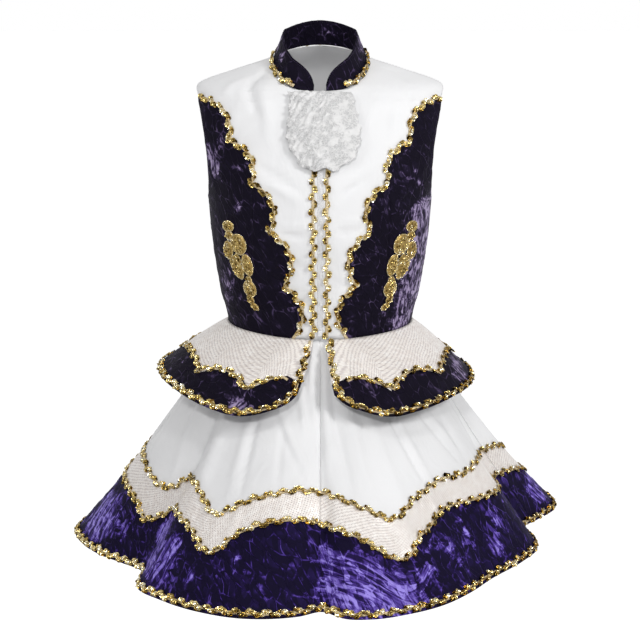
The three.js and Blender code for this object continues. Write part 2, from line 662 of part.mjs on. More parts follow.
function peplumPanel(name, side, from, to, steps, material) {
  const grid = [];
  for (let i = 0; i <= PEPLUM_COLUMNS; i += 1) {
    const line = [];
    for (let j = 0; j <= steps; j += 1) {
      const rough = lerp(peplumFront(1), CENTRE_BACK, i / PEPLUM_COLUMNS) * side;
      const share = lerp(from(rough), to(rough), j / steps);
      const azimuth = lerp(peplumFront(share), CENTRE_BACK, i / PEPLUM_COLUMNS) * side;
      line.push([raised(peplum, azimuth, share, 0), raised(peplum, azimuth, share, CLOTH)]);
    }
    grid.push(line);
  }
  add(name, wall(grid), material);
}

function makePeplum() {
  const above = (azimuth) => peplumJoin(azimuth) - PEPLUM_SEAM_SHARE;
  const below = (azimuth) => peplumJoin(azimuth) + PEPLUM_SEAM_SHARE;
  [['left', -1], ['right', 1]].forEach(([word, side]) => {
    peplumPanel(`peplum_mesh_${word}`, side, level(PEPLUM_TOP_SHARE), above, 2, CREAM_MESH);
    peplumPanel(`peplum_velvet_${word}`, side, below, level(1), 2, PLUM_VELVET);
  });
  // Each trim runs from one front edge round the back to the other.
  const join = [];
  const edge = [];
  const azimuthOf = (i) => lerp(peplumFront(1), 360 - peplumFront(1), i / (2 * PEPLUM_COLUMNS));
  for (let i = 1; i <= 2 * PEPLUM_COLUMNS - 1; i += 1) join.push([azimuthOf(i), peplumJoin(azimuthOf(i))]);
  for (let i = 2; i <= 2 * PEPLUM_COLUMNS - 2; i += 1) edge.push([azimuthOf(i), PEPLUM_HEM_TRIM]);
  const shares = [0.06, 0.25, 0.45, 0.65, 0.83];
  const front = shares.map((share) => [peplumFront(share) + PEPLUM_TRIM_INSET, share]);
  front.push(PEPLUM_CORNER);
  const mirrored = [...front].reverse().map(([azimuth, share]) => [360 - azimuth, share]);
  strip('trim_peplum_join', peplum, join);
  strip('trim_peplum_edge', peplum, [...front, ...edge, ...mirrored]);
}

// ---- Trims of the bodice ----
const CENTRE_TRIM_TOP = -36; // under the jabot
const CENTRE_TRIM_GAP = TRIM_WIDTH / 2 + 1; // from the zip tape to the trim's middle

// A scallop line whose ends stop a little short of the armhole and the waist seam.
function trimLine(scallops) {
  const last = scallops.length - 1;
  return scallops.map(([x, z], i) => [i === 0 ? x - 3 : x, z + (i === last ? 3 : 0)]);
}

function makeBodiceTrims() {
  [['left', -1], ['right', 1]].forEach(([word, side]) => {
    const [front, back] = [[FRONT_SCALLOPS, false], [BACK_SCALLOPS, true]].map(([scallops, behind]) =>
      trimLine(scallops).map(([x, z]) => [azimuthAt(x, z, behind) * side, z]),
    );
    strip(`trim_front_${word}`, torso, front);
    strip(`trim_back_${word}`, torso, back);
    const centre = [];
    for (let z = WAIST_FRONT + 5; z < CENTRE_TRIM_TOP; z += 20) {
      centre.push([azimuthAt(ZIP_HALF + CENTRE_TRIM_GAP, z, false) * side, z]);
    }
    strip(`trim_centre_${word}`, torso, centre);
  });
}

// ---- Jabot, zip and applique ----
function makeJabot() {
  const left = curve(column(JABOT, 0).reverse(), column(JABOT, 1).reverse());
  const right = curve(column(JABOT, 0).reverse(), column(JABOT, 2).reverse());
  const columns = 18;
  const rows = 7;
  const [top, bottom] = [JABOT[0][0], JABOT[JABOT.length - 1][0]];
  const grid = [];
  for (let i = 0; i <= columns; i += 1) {
    const line = [];
    for (let j = 0; j <= rows; j += 1) {
      const z = lerp(top, bottom, j / rows);
      const across = i / columns;
      const x = lerp(left(z), right(z), across);
      const azimuth = azimuthAt(Math.abs(x), z, false) * Math.sign(x);
      const turns = JABOT_CRINKLES_ACROSS * across + (JABOT_CRINKLES_DOWN * j) / rows;
      const bow = JABOT_BOW * Math.sin(Math.PI * across);
      const stand = CLOTH + JABOT_STAND + JABOT_CRINKLE * Math.sin(2 * Math.PI * turns) + bow;
      line.push([raised(torso, azimuth, z, stand), raised(torso, azimuth, z, stand + JABOT_WALL)]);
    }
    grid.push(line);
  }
  add('jabot', wall(grid), WHITE_LACE);
}

function makeZip() {
  const rows = ZIP_LEVELS.map((z) => {
    const half = azimuthAt(ZIP_HALF, z, false);
    return { from: -half, to: half, along: level(z) };
  });
  panel('zip_tape', torso, rows, 2, WHITE_PLASTIC);
  [ZIP_BOX, ZIP_SLIDER].forEach((moulding) => {
    const ends = [-0.5, -0.25, 0.25, 0.5].map((share) => {
      const at = moulding.level + share * moulding.tall;
      const taper = Math.abs(share) === 0.5 ? 0.7 : 1;
      const reach = azimuthAt(moulding.half * taper, at, false);
      return { from: -reach, to: reach, along: level(at) };
    });
    panel(moulding.name, torso, ends, 2, WHITE_PLASTIC, CLOTH + ZIP_SEAM, moulding.rise);
  });
}

function makeAppliques() {
  const across = [
    [-1, APPLIQUE_EDGE], [-0.5, APPLIQUE_RISE], [0, APPLIQUE_CROWN], [0.5, APPLIQUE_RISE], [1, APPLIQUE_EDGE],
  ];
  const foot = CLOTH + APPLIQUE_FOOT;
  [['left', -1], ['right', 1]].forEach(([word, side]) => {
    const grid = APPLIQUE.map(([t, middle, half]) => across.map(([share, rise]) => {
      const out = middle + half * share;
      const x = lerp(APPLIQUE_TOP.distance, APPLIQUE_TIP.distance, t) + out;
      const z = lerp(APPLIQUE_TOP.height, APPLIQUE_TIP.height, t) - out * APPLIQUE_SLANT;
      const azimuth = azimuthAt(x, z, false) * side;
      return [raised(torso, azimuth, z, foot), raised(torso, azimuth, z, foot + rise)];
    }));
    add(`applique_${word}`, wall(grid), GOLD_SEQUINS);
  });
}

makeBodice();
makeCollar();
makeJabot();
makeZip();
makeAppliques();
makePeplum();
makeSkirt();
makeBodiceTrims();

export default dress;
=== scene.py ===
"""Color guard dress: velvet, satin, mesh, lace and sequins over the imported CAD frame.

Sizes are in millimetres, like the CAD, and every vertex is scaled to metres when a mesh is made.
An azimuth is in degrees: 0 at the front (-Y), +90 at +X.
"""
import math

import bpy
import numpy as np
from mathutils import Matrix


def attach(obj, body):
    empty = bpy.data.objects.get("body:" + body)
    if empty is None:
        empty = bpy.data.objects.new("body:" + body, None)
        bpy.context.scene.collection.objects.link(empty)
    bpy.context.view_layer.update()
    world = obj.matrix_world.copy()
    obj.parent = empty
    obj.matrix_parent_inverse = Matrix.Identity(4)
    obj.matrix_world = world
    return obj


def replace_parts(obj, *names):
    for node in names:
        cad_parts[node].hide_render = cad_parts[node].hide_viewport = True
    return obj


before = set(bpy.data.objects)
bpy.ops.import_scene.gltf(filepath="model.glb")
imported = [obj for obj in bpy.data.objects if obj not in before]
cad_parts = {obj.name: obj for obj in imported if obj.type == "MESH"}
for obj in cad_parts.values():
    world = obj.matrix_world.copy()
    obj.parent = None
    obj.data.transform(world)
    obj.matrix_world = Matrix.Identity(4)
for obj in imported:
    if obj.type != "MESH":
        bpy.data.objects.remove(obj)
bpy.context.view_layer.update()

MM = 0.001

# ---- Driving sizes, as in the CAD ----
CLOTH = 1.5
SHELL = 1.1  # thickness of a cloth shell here
COLLAR_SHELL = 1.8
WAIST_FRONT = -381.0
WAIST_DIP = 11.0
WAIST_FADE = -320.0
SHOULDER_TIP = -20.0
UNDERARM = -187.0
ARMHOLE_REACH = 24.0
ZIP_HALF = 4.2
COLLAR_HEIGHT = 36.0
COLLAR_LEAN = 15.0
COLLAR_WALL = 2.0
COLLAR_INSET = 2.5
COLLAR_GAP = 2.0
COLLAR_END = 2.7
COLLAR_ROUNDING = 13.3
COLLAR_TRIM_SHARE = 0.08
COLLAR_TRIM_STAND = 2.0
COLLAR_TRIM_END = 12.5
COLLAR_CENTRE = np.array([0.0, -8.0, 0.0])
SKIRT_MEAN_HEM = 350.0
SKIRT_TOP_DROP = 3.0
SKIRT_FLARE = 1.16
FOLD_GROWTH = 1.35
PEPLUM_STAND = 1.0
PEPLUM_FLARE = 0.93
PEPLUM_OPENING = 5.5
PEPLUM_SPREAD = 3.5
PEPLUM_SWING = 6.0
PEPLUM_TILT = 7.0
PEPLUM_HEM_TRIM = 1 - 6 / 140
PEPLUM_TRIM_INSET = 2.6  # degrees in from the front edge
SKIRT_HEM_TRIM = 1 - 6 / 400
TAPE_HALF = 6.5  # the tape's edges lie behind the satin
TRIM_LIFT = CLOTH + 0.9
CENTRE_TRIM_X = ZIP_HALF + 5.5
SCALLOP_BULGE = 0.25

# level, half width, front depth, back depth, centre y, squareness
TORSO = np.array([
    (-385, 135, 97, 92, 0, 2.15), (-370, 137, 98, 92, 0, 2.15), (-320, 147, 105, 94, 0, 2.15),
    (-270, 155, 116, 98, 0, 2.2), (-225, 160, 127, 103, 0, 2.2), (-187, 163, 131, 107, 0, 2.2),
    (-140, 172, 128, 110, 0, 2.15), (-100, 179, 118, 110, 0, 2.1), (-60, 183, 103, 106, 0, 2.0),
    (-35, 181, 88, 101, 1, 2.0), (-20, 176, 74, 97, 3, 1.95), (0, 121, 42, 84, 9, 1.9),
    (18, 67, 12, 58, 15, 1.9), (33, 50, 4, 40, 15, 2.0),
])
# azimuth, height
NECK = np.array([
    (0, -27), (12, -24), (22, -12), (36, 1), (55, 11), (80, 17), (90, 18), (110, 21), (135, 26),
    (160, 29.5), (180, 30.5),
])
# distance from centre, height
FRONT_NOTCHES = [(172, -38), (127, -95), (96, -152), (71, -220), (51, -300), (39, -381)]
BACK_NOTCHES = [(171, -40), (128, -95), (99, -152), (77, -220), (60, -300), (50, -381)]
PRINCESS_START = 2
PRINCESS_TIP = 1.5  # the front velvet's width where the princess seam starts
# height, distance from centre
PRINCESS = np.array([(-381, 86), (-280, 95), (-190, 98), (-152, 96)])
# The skirt's hem: azimuth, radius, height
HEM = np.array([
    (-178, 352, -704), (-160, 338, -706), (-146, 366, -704), (-131, 322, -710), (-116, 360, -706),
    (-104, 366, -707), (-91, 376, -708), (-82, 362, -708), (-73, 342, -708), (-65, 321, -708),
    (-55, 311, -708), (-46, 354, -708), (-38, 362, -708), (-27, 371, -708), (-16, 372, -708),
    (-5, 352, -708), (0.7, 333, -708), (5.5, 360, -708), (11, 367, -708), (19, 362, -708),
    (28, 356, -706), (37, 344, -703), (47, 331, -700), (60, 338, -694), (69, 341, -692),
    (76, 328, -692), (84, 303, -692), (92, 336, -690), (99, 372, -688), (107, 382, -687),
    (117, 362, -688), (130, 328, -694), (147, 362, -700), (164, 340, -704),
])
# Upper and lower edge of the skirt's mesh: azimuth, share of the way from waist to hem
UPPER_JOIN = np.array([
    (-180, 0.575), (-165, 0.60), (-152, 0.675), (-140, 0.64), (-122, 0.60), (-108, 0.585),
    (-94, 0.59), (-84, 0.614), (-75, 0.646), (-66, 0.677), (-61, 0.668), (-57, 0.625),
    (-51, 0.598), (-44.5, 0.605), (-38, 0.648), (-32.5, 0.68), (-28.5, 0.655), (-22, 0.608),
    (-15, 0.582), (-8, 0.568), (0, 0.584), (6, 0.592), (11, 0.618), (16, 0.646), (21.5, 0.684),
    (25.5, 0.672), (29.5, 0.645), (37.5, 0.618), (46.5, 0.604), (52.5, 0.611), (60, 0.615),
    (68, 0.60), (78, 0.612), (88, 0.635), (96, 0.645), (103, 0.686), (108, 0.70), (116, 0.66),
    (126, 0.61), (140, 0.60), (152, 0.675), (166, 0.61),
])
LOWER_JOIN = np.array([
    (-180, 0.69), (-165, 0.715), (-152, 0.80), (-140, 0.74), (-122, 0.70), (-108, 0.685),
    (-94, 0.692), (-87, 0.72), (-78, 0.742), (-70.5, 0.774), (-65.5, 0.817), (-59, 0.776),
    (-55, 0.734), (-49, 0.722), (-43, 0.728), (-35, 0.776), (-30.5, 0.808), (-27, 0.79),
    (-25, 0.752), (-20.5, 0.708), (-15, 0.682), (-7, 0.673), (0, 0.694), (5, 0.704),
    (10, 0.726), (14, 0.758), (20.5, 0.82), (24.8, 0.81), (28, 0.768), (33.5, 0.742),
    (40, 0.706), (47.5, 0.708), (58.5, 0.724), (66, 0.735), (76, 0.742), (87, 0.75),
    (93, 0.758), (101, 0.796), (106, 0.83), (112, 0.79), (124, 0.71), (140, 0.70),
    (152, 0.80), (166, 0.715),
])
# azimuth, radius, height
PEPLUM_HEM = np.array([
    (6, 160, -438), (12, 179, -455), (20, 198, -466), (30, 211, -474), (43, 222, -468.5),
    (60, 229, -459), (75, 235, -453), (90, 236, -450), (110, 234, -451), (130, 226, -458),
    (155, 214, -464), (180, 210, -466),
])
PEPLUM_NOTCHES = np.array([9, 36.3, 63.2, 100, 127, 154, 180])
PEPLUM_LEFT_TURN = 3.2  # its left scallops sit up to this many degrees nearer the front
PEPLUM_NOTCH_SHARE = 0.7
PEPLUM_ARCH_RISE = 0.17
# height, left edge x, right edge x
JABOT = np.array([
    (-130, -23, 24), (-121, -30, 42), (-110, -37, 49), (-97, -44, 54), (-71, -45, 54),
    (-46, -42, 48), (-31, -43, 45),
])
JABOT_TOP, JABOT_BOTTOM = -30.5, -131.5
JABOT_STAND = 6.0
# The applique's spine: distance from centre and height at each end, and the slant across it
APPLIQUE_TOP = (128.5, -208.0)
APPLIQUE_TIP = (90.5, -341.0)
APPLIQUE_LENGTH = math.dist(APPLIQUE_TOP, APPLIQUE_TIP)
APPLIQUE_SLANT = 0.29


# ---- Reading the tables ----
def smooth(table, index, x, period=None):
    """Cubic through a table's points, with slopes from their neighbours."""
    xs, ys = table[:, 0].astype(float), table[:, index].astype(float)
    x = np.asarray(x, float)
    if period:
        xs = np.concatenate([xs[-2:] - period, xs, xs[:2] + period])
        ys = np.concatenate([ys[-2:], ys, ys[:2]])
        x = (x - xs[2]) % period + xs[2]
    slope = np.gradient(ys, xs)
    i = np.clip(np.searchsorted(xs, x) - 1, 0, len(xs) - 2)
    span = xs[i + 1] - xs[i]
    t = np.clip((x - xs[i]) / span, 0, 1)
    rise = t * t * (3 - 2 * t)
    bend = t * (1 - t) * span * ((1 - t) * slope[i] - t * slope[i + 1])
    return ys[i] * (1 - rise) + ys[i + 1] * rise + bend


def lerp(a, b, t):
    return a + (b - a) * t


def unit(vectors):
    return vectors / np.linalg.norm(vectors, axis=-1, keepdims=True)


def power(value, exponent):
    return np.sign(value) * np.abs(value) ** exponent


def from_front(azimuth):
    return np.abs((np.asarray(azimuth, float) + 180) % 360 - 180)


def ease(x, low, high):
    t = np.clip((x - low) / (high - low), 0, 1)
    return t * t * (3 - 2 * t)


# ---- Surfaces: the inside face of the cloth ----
def stack(x, y, z):
    return np.stack(np.broadcast_arrays(x, y, z), axis=-1)


def waist_lift(azimuth):
    return WAIST_DIP * (1 - np.maximum(np.cos(np.radians(azimuth)), 0) ** 1.5)


def torso(azimuth, level):
    half, front, back, middle, square = (smooth(TORSO, k, level) for k in (1, 2, 3, 4, 5))
    s, c = np.sin(np.radians(azimuth)), np.cos(np.radians(azimuth))
    e = 2 / square
    depth = np.where(c > 0, front, back)
    fade = ease(-np.asarray(level, float), -WAIST_FADE, -WAIST_FRONT)
    return stack(half * power(s, e), middle - depth * power(c, e), level + waist_lift(azimuth) * fade)


def waist_radius(azimuth):
    ring = torso(np.linspace(-180, 180, 1441), WAIST_FRONT)
    true = np.degrees(np.unwrap(np.arctan2(ring[:, 0], -ring[:, 1])))
    radius = np.hypot(ring[:, 0], ring[:, 1])
    return np.interp((np.asarray(azimuth, float) + 180) % 360 - 180, true, radius)


def on_polar(azimuth, radius, height):
    a = np.radians(azimuth)
    return stack(radius * np.sin(a), -radius * np.cos(a), height)


def skirt(azimuth, share):
    waist = waist_radius(azimuth) - SKIRT_TOP_DROP + 1
    share = np.maximum(share, 0)
    fold = (smooth(HEM, 1, azimuth, 360) - SKIRT_MEAN_HEM) * share ** FOLD_GROWTH
    radius = waist + (SKIRT_MEAN_HEM - waist) * share ** SKIRT_FLARE + fold
    top = WAIST_FRONT + waist_lift(azimuth) - SKIRT_TOP_DROP
    return on_polar(azimuth, radius, lerp(top, smooth(HEM, 2, azimuth, 360), share))


def peplum(azimuth, share):
    side = from_front(azimuth)
    waist = waist_radius(azimuth) + PEPLUM_STAND
    radius = lerp(waist, smooth(PEPLUM_HEM, 1, side), np.maximum(share, 0) ** PEPLUM_FLARE)
    top = WAIST_FRONT + waist_lift(azimuth) - PEPLUM_STAND
    hung = on_polar(azimuth, radius, lerp(top, smooth(PEPLUM_HEM, 2, side), share))
    hung[..., 0] -= PEPLUM_SWING * share
    hung[..., 2] -= PEPLUM_TILT * share * power(np.sin(np.radians(azimuth)), 5)
    return hung


def neck_height(azimuth):
    return smooth(NECK, 1, from_front(azimuth))


def collar(azimuth, share):
    side = np.clip((from_front(azimuth) - COLLAR_END) / COLLAR_ROUNDING, 0, 1)
    height = COLLAR_HEIGHT * share * np.sqrt(1 - (1 - side) ** 2)
    base = torso(azimuth, neck_height(azimuth))
    reach = COLLAR_INSET + COLLAR_LEAN * height / COLLAR_HEIGHT
    base = base + unit(COLLAR_CENTRE - base * [1, 1, 0]) * reach[..., None]
    base[..., 2] += height + COLLAR_GAP
    return base


STEPS = {torso: 0.8, skirt: 0.01, peplum: 0.01, collar: 0.02}  # for slopes along each surface


def outward(surface, azimuth, along):
    step = STEPS[surface]
    low = along - step if surface is torso else np.maximum(along - step, 0.0001)
    across = surface(azimuth + 0.4, along) - surface(azimuth - 0.4, along)
    normal = unit(np.cross(across, surface(azimuth, along + step) - surface(azimuth, low)))
    away = surface(azimuth, along).copy()
    away[..., 2] = 60.0 if surface is torso else 0.0
    turn = np.sign((normal * away).sum(-1, keepdims=True))
    return normal * np.where(turn == 0, 1, turn)


# ---- Seam lines on the torso ----
def azimuth_at(distance, level, back=False):
    half, square = smooth(TORSO, 1, level), smooth(TORSO, 5, level)
    s = np.clip(np.abs(distance) / half, 0, 1) ** (square / 2)
    azimuth = np.degrees(np.arcsin(s))
    return 180 - azimuth if back else azimuth * np.sign(distance)


def armhole(level, back=False):
    middle, half = (SHOULDER_TIP + UNDERARM) / 2, (SHOULDER_TIP - UNDERARM) / 2
    off = np.clip(np.abs(level - middle) / half, 0, 1)
    reach = ARMHOLE_REACH * np.sqrt(1 - off * off)
    return 90 + reach if back else 90 - reach


def scallop_line(notches, steps):
    points = []
    for (x0, z0), (x1, z1) in zip(notches, notches[1:]):
        for k in range(steps):
            t = k / steps
            bulge = 4 * SCALLOP_BULGE * t * (1 - t)
            points.append((lerp(x0, x1, t) - (z0 - z1) * bulge, lerp(z0, z1, t) + (x0 - x1) * bulge))
    points.append(notches[-1])
    return np.array(points, float)


# ---- Relief: creases listed one by one, and the crumple of crushed velvet ----
def hash_noise(points, seed):
    """Smooth value noise from -1 to 1 on a unit lattice."""
    cell = np.floor(points).astype(np.int64)
    t = points - cell
    t = t * t * (3 - 2 * t)
    total = np.zeros(points.shape[:-1])
    for dx in (0, 1):
        for dy in (0, 1):
            for dz in (0, 1):
                k = (cell[..., 0] + dx) * 374761393 + (cell[..., 1] + dy) * 668265263
                k = (k + (cell[..., 2] + dz) * 2147483647 + seed * 974711) & 0xFFFFFFFF
                k = ((k ^ (k >> 13)) * 1274126177) & 0xFFFFFFFF
                k = (k ^ (k >> 16)) & 0xFFFF
                weight = ((t[..., 0] if dx else 1 - t[..., 0]) * (t[..., 1] if dy else 1 - t[..., 1])
                          * (t[..., 2] if dz else 1 - t[..., 2]))
                total += weight * (k / 32767.5 - 1)
    return total


def crumple(points, size, seed):
    """Sharp-edged creases with flat facets between them, as in crushed velvet."""
    warp = np.stack([hash_noise(points / (size * 1.7), seed + k) for k in (11, 12, 13)], axis=-1)
    p = points / size + warp * 0.9
    ridge = 1 - np.abs(hash_noise(p, seed))
    fine = 1 - np.abs(hash_noise(p * 2.3, seed + 1))
    return ridge ** 3 + 0.4 * fine ** 3 - 0.5


def creases(points, surface, rows):
    """Soft ridges and troughs. A row: azimuth and along at each end, width, height."""
    total = np.zeros(points.shape[:-1])
    t = np.linspace(0, 1, 25)
    for azimuth0, along0, azimuth1, along1, width, height in rows:
        line = surface(lerp(azimuth0, azimuth1, t), lerp(along0, along1, t))
        off = ((points[..., None, :] - line) ** 2).sum(-1)
        nearest = off.argmin(-1)
        fade = np.sin(np.pi * np.clip(t[nearest], 0.02, 0.98)) ** 0.8
        total += height * fade * np.exp(-off.min(-1) / width ** 2)
    return total


# azimuth, level at one end; azimuth, level at the other; width, height
SATIN_CREASES = [
    (-40, 4, -29, -56, 7, -3.4), (-27, -6, -22, -96, 9, 2.2), (-44, -6, -49, -36, 8, 1.6),
    (-41, -64, -26, -54, 9, -1.6), (-36, -100, -12, -80, 12, 1.5), (-31, -124, -7, -162, 6, -1.8),
    (-26, -146, -7, -178, 7, 1.3), (-20, -214, -3, -212, 5, 1.3), (-20, -224, -3, -226, 4.5, -1.5),
    (-15, -262, -3, -281, 5, -1.4), (-14, -296, -3, -300, 5, 1.0), (-12, -324, -3, -327, 5, -1.7),
    (-11, -340, -3, -343, 5, 1.2), (-10, -356, -3, -359, 4, -1.4), (40, -24, 32, -96, 9, -1.8),
    (26, -22, 21, -82, 10, 1.8), (47, -8, 44, -44, 9, 1.5), (20, -100, 8, -136, 9, -1.6),
    (23, -134, 8, -170, 5, -1.7), (26, -126, 9, -156, 6, 1.4), (23, -214, 6, -221, 5, -1.6),
    (21, -205, 6, -208, 5, 1.2), (18, -306, 8, -298, 5, -1.5), (16, -346, 8, -339, 4, -1.4),
    (17, -262, 7, -268, 5, 1.1), (15, -326, 7, -320, 5, 1.1),
]
BACK_CREASES = [
    (152, -60, 176, -96, 9, 2.0), (-150, -66, -174, -108, 9, -2.2), (158, -150, 178, -186, 8, 1.8),
    (-160, -200, -178, -222, 7, 1.6), (164, -280, 179, -300, 6, -1.5), (-168, -330, 178, -346, 6, 1.4),
    (160, -236, -164, -246, 6, -1.6), (166, -360, -170, -364, 5, -1.4),
]
# azimuth, share of the way down at each end; width, height
SKIRT_CREASES = [
    (-63, 0.12, -54.5, 0.72, 11, -6.5), (-51, 0.14, -42, 0.72, 13, 3.0), (-80, 0.2, -69, 0.52, 8, -3.2),
    (-71, 0.36, -62, 0.66, 12, 2.6), (-86, 0.12, -82, 0.66, 13, 2.6), (-36, 0.26, -30, 0.64, 7, 1.5),
    (-32, 0.26, -26, 0.64, 5.5, -2.2), (-17.5, 0.34, -14, 0.6, 4.5, -1.7), (-24, 0.24, -2.5, 0.52, 5, 2.2),
    (-21, 0.3, -4, 0.56, 4.5, -1.6), (-13.5, 0.16, -3.5, 0.44, 5, 2.2), (-10, 0.02, -4, 0.5, 5, -2.2),
    (-6.5, 0.02, -7.5, 0.34, 5, 1.8), (-1.2, 0.02, -0.4, 0.64, 4, -2.6), (2.6, 0.02, 3.4, 0.6, 6, 2.4),
    (5.6, 0.02, 8.5, 0.52, 4, -1.8), (7.5, 0.2, 11.5, 0.68, 6.5, -2.8), (14.5, 0.16, 17.5, 0.66, 9, 2.2),
    (24, 0.22, 28, 0.7, 10, 1.5), (34, 0.24, 40.2, 0.68, 3.8, -2.2), (37.5, 0.24, 43.5, 0.66, 5.5, 1.6),
    (49.5, 0.24, 61.5, 0.66, 3.6, -2.1), (53.5, 0.24, 65, 0.64, 5.5, 1.5),
    (63.5, 0.34, 62.5, 0.68, 7, -2.2), (74, 0.12, 80, 0.66, 12, 2.8), (82, 0.16, 87, 0.66, 10, -2.8),
    (96, 0.1, 100, 0.7, 13, 2.8), (110, 0.1, 114, 0.7, 11, -3.0), (124, 0.1, 128, 0.66, 12, 2.6),
    (138, 0.12, 141, 0.66, 8, -2.6), (152, 0.1, 154, 0.7, 12, 2.6), (166, 0.12, 168, 0.66, 7, -2.2),
    (178, 0.06, 179, 0.64, 9, 2.4), (-168, 0.1, -166, 0.66, 9, -2.6), (-154, 0.1, -152, 0.7, 12, 2.6),
    (-138, 0.1, -134, 0.68, 11, -3.0), (-124, 0.1, -121, 0.66, 13, 2.8), (-108, 0.12, -105, 0.68, 9, -2.6),
    (-96, 0.1, -93, 0.68, 11, 2.4),
]
PEPLUM_CREASES = [
    (16, 0.05, 18, 0.75, 12, -0.9), (28, 0.05, 34, 0.6, 13, 1.3), (44, 0.05, 50, 0.7, 12, -1.2),
    (60, 0.05, 66, 0.75, 14, 1.3), (78, 0.05, 84, 0.7, 13, -1.2), (100, 0.05, 104, 0.7, 15, 1.2),
    (128, 0.05, 132, 0.7, 15, -1.2), (156, 0.05, 158, 0.7, 15, 1.2), (-14, 0.05, -17, 0.7, 11, -0.9),
    (-26, 0.05, -31, 0.7, 13, 1.4), (-40, 0.05, -45, 0.6, 12, -1.3), (-52, 0.05, -60, 0.75, 13, 1.4),
    (-72, 0.05, -78, 0.7, 13, -1.2), (-96, 0.05, -100, 0.7, 15, 1.2), (-122, 0.05, -126, 0.7, 15, -1.2),
    (-150, 0.05, -154, 0.7, 15, 1.2),
]
# Painted sheen on the velvet: soft patches where its base colour is lightened for light caught by the pile.
# Azimuth, place down the piece, radius, amount
BODICE_PAINTED_SHEEN = [
    (-62, -118, 16, 0.72), (-58, -136, 12, 0.8), (-76, -130, 22, 0.43), (-44, -190, 9, 0.43),
    (-62, -300, 18, 0.51), (-70, -345, 22, 0.43), (-40, -262, 11, 0.51), (-50, -95, 12, 0.29),
    (64, -225, 34, 0.72), (74, -262, 40, 0.8), (66, -320, 38, 0.8), (82, -200, 40, 0.72),
    (84, -130, 34, 0.51), (58, -195, 14, 0.72), (52, -150, 14, 0.36), (58, -362, 26, 0.65),
    (120, -180, 34, 0.51), (112, -300, 38, 0.58), (-112, -220, 38, 0.51), (-120, -330, 34, 0.51),
    (-104, -90, 26, 0.43),
]
# Painted sheen patches on the collar, in the same columns
COLLAR_PAINTED_SHEEN = [
    (56, 0.75, 7, 0.7), (76, 0.5, 9, 0.7), (-70, 0.75, 8, 0.6), (-30, 0.6, 9, 0.52), (-60, 0.5, 10, 0.6),
    (48, 0.6, 9, 0.68), (150, 0.5, 14, 0.3),
]
# Painted sheen patches on the peplum, in the same columns
PEPLUM_PAINTED_SHEEN = [
    (-36, 0.85, 14, 0.54), (-30, 0.9, 13, 0.36), (76, 0.8, 21, 0.6), (84, 0.72, 16, 0.6),
    (-75, 0.8, 13, 0.24),
]
# Painted sheen patches on the skirt's velvet hem, in the same columns
HEM_PAINTED_SHEEN = [
    (-86, 0.86, 36, 0.72), (-78, 0.9, 29, 0.75), (-70, 0.88, 14, 0.38), (-53, 0.8, 24, 0.8),
    (-50, 0.9, 33, 0.88), (-43, 0.86, 24, 0.74), (-40, 0.95, 19, 0.45), (-33, 0.9, 12, 0.3),
    (-20, 0.84, 14, 0.1), (1.5, 0.8, 13, 0.9), (3.5, 0.9, 22, 0.95), (8, 0.85, 30, 0.95),
    (11, 0.95, 30, 0.95), (16, 0.92, 27, 0.88), (21, 0.94, 22, 0.72), (27, 0.88, 17, 0.45),
    (33, 0.8, 18, 0.45), (38, 0.88, 17, 0.4), (46, 0.82, 18, 0.45), (54, 0.9, 18, 0.42),
    (60, 0.84, 17, 0.45), (98, 0.9, 26, 0.6), (104, 0.86, 24, 0.52),
    (122, 0.9, 41, 0.75), (150, 0.88, 38, 0.68), (176, 0.9, 43, 0.75), (-160, 0.88, 38, 0.68),
    (-134, 0.9, 43, 0.75), (-108, 0.86, 38, 0.6),
]
# Where the hem's painted sheen strokes lie across instead of down, in the same columns
HEM_LIE = [
    (3, 0.85, 40, 0.9), (14, 0.88, 40, 0.9), (26, 0.86, 40, 0.9), (40, 0.86, 40, 0.7), (-12, 0.88, 40, 0.4),
    (130, 0.86, 60, 0.8), (-150, 0.86, 60, 0.8),
]


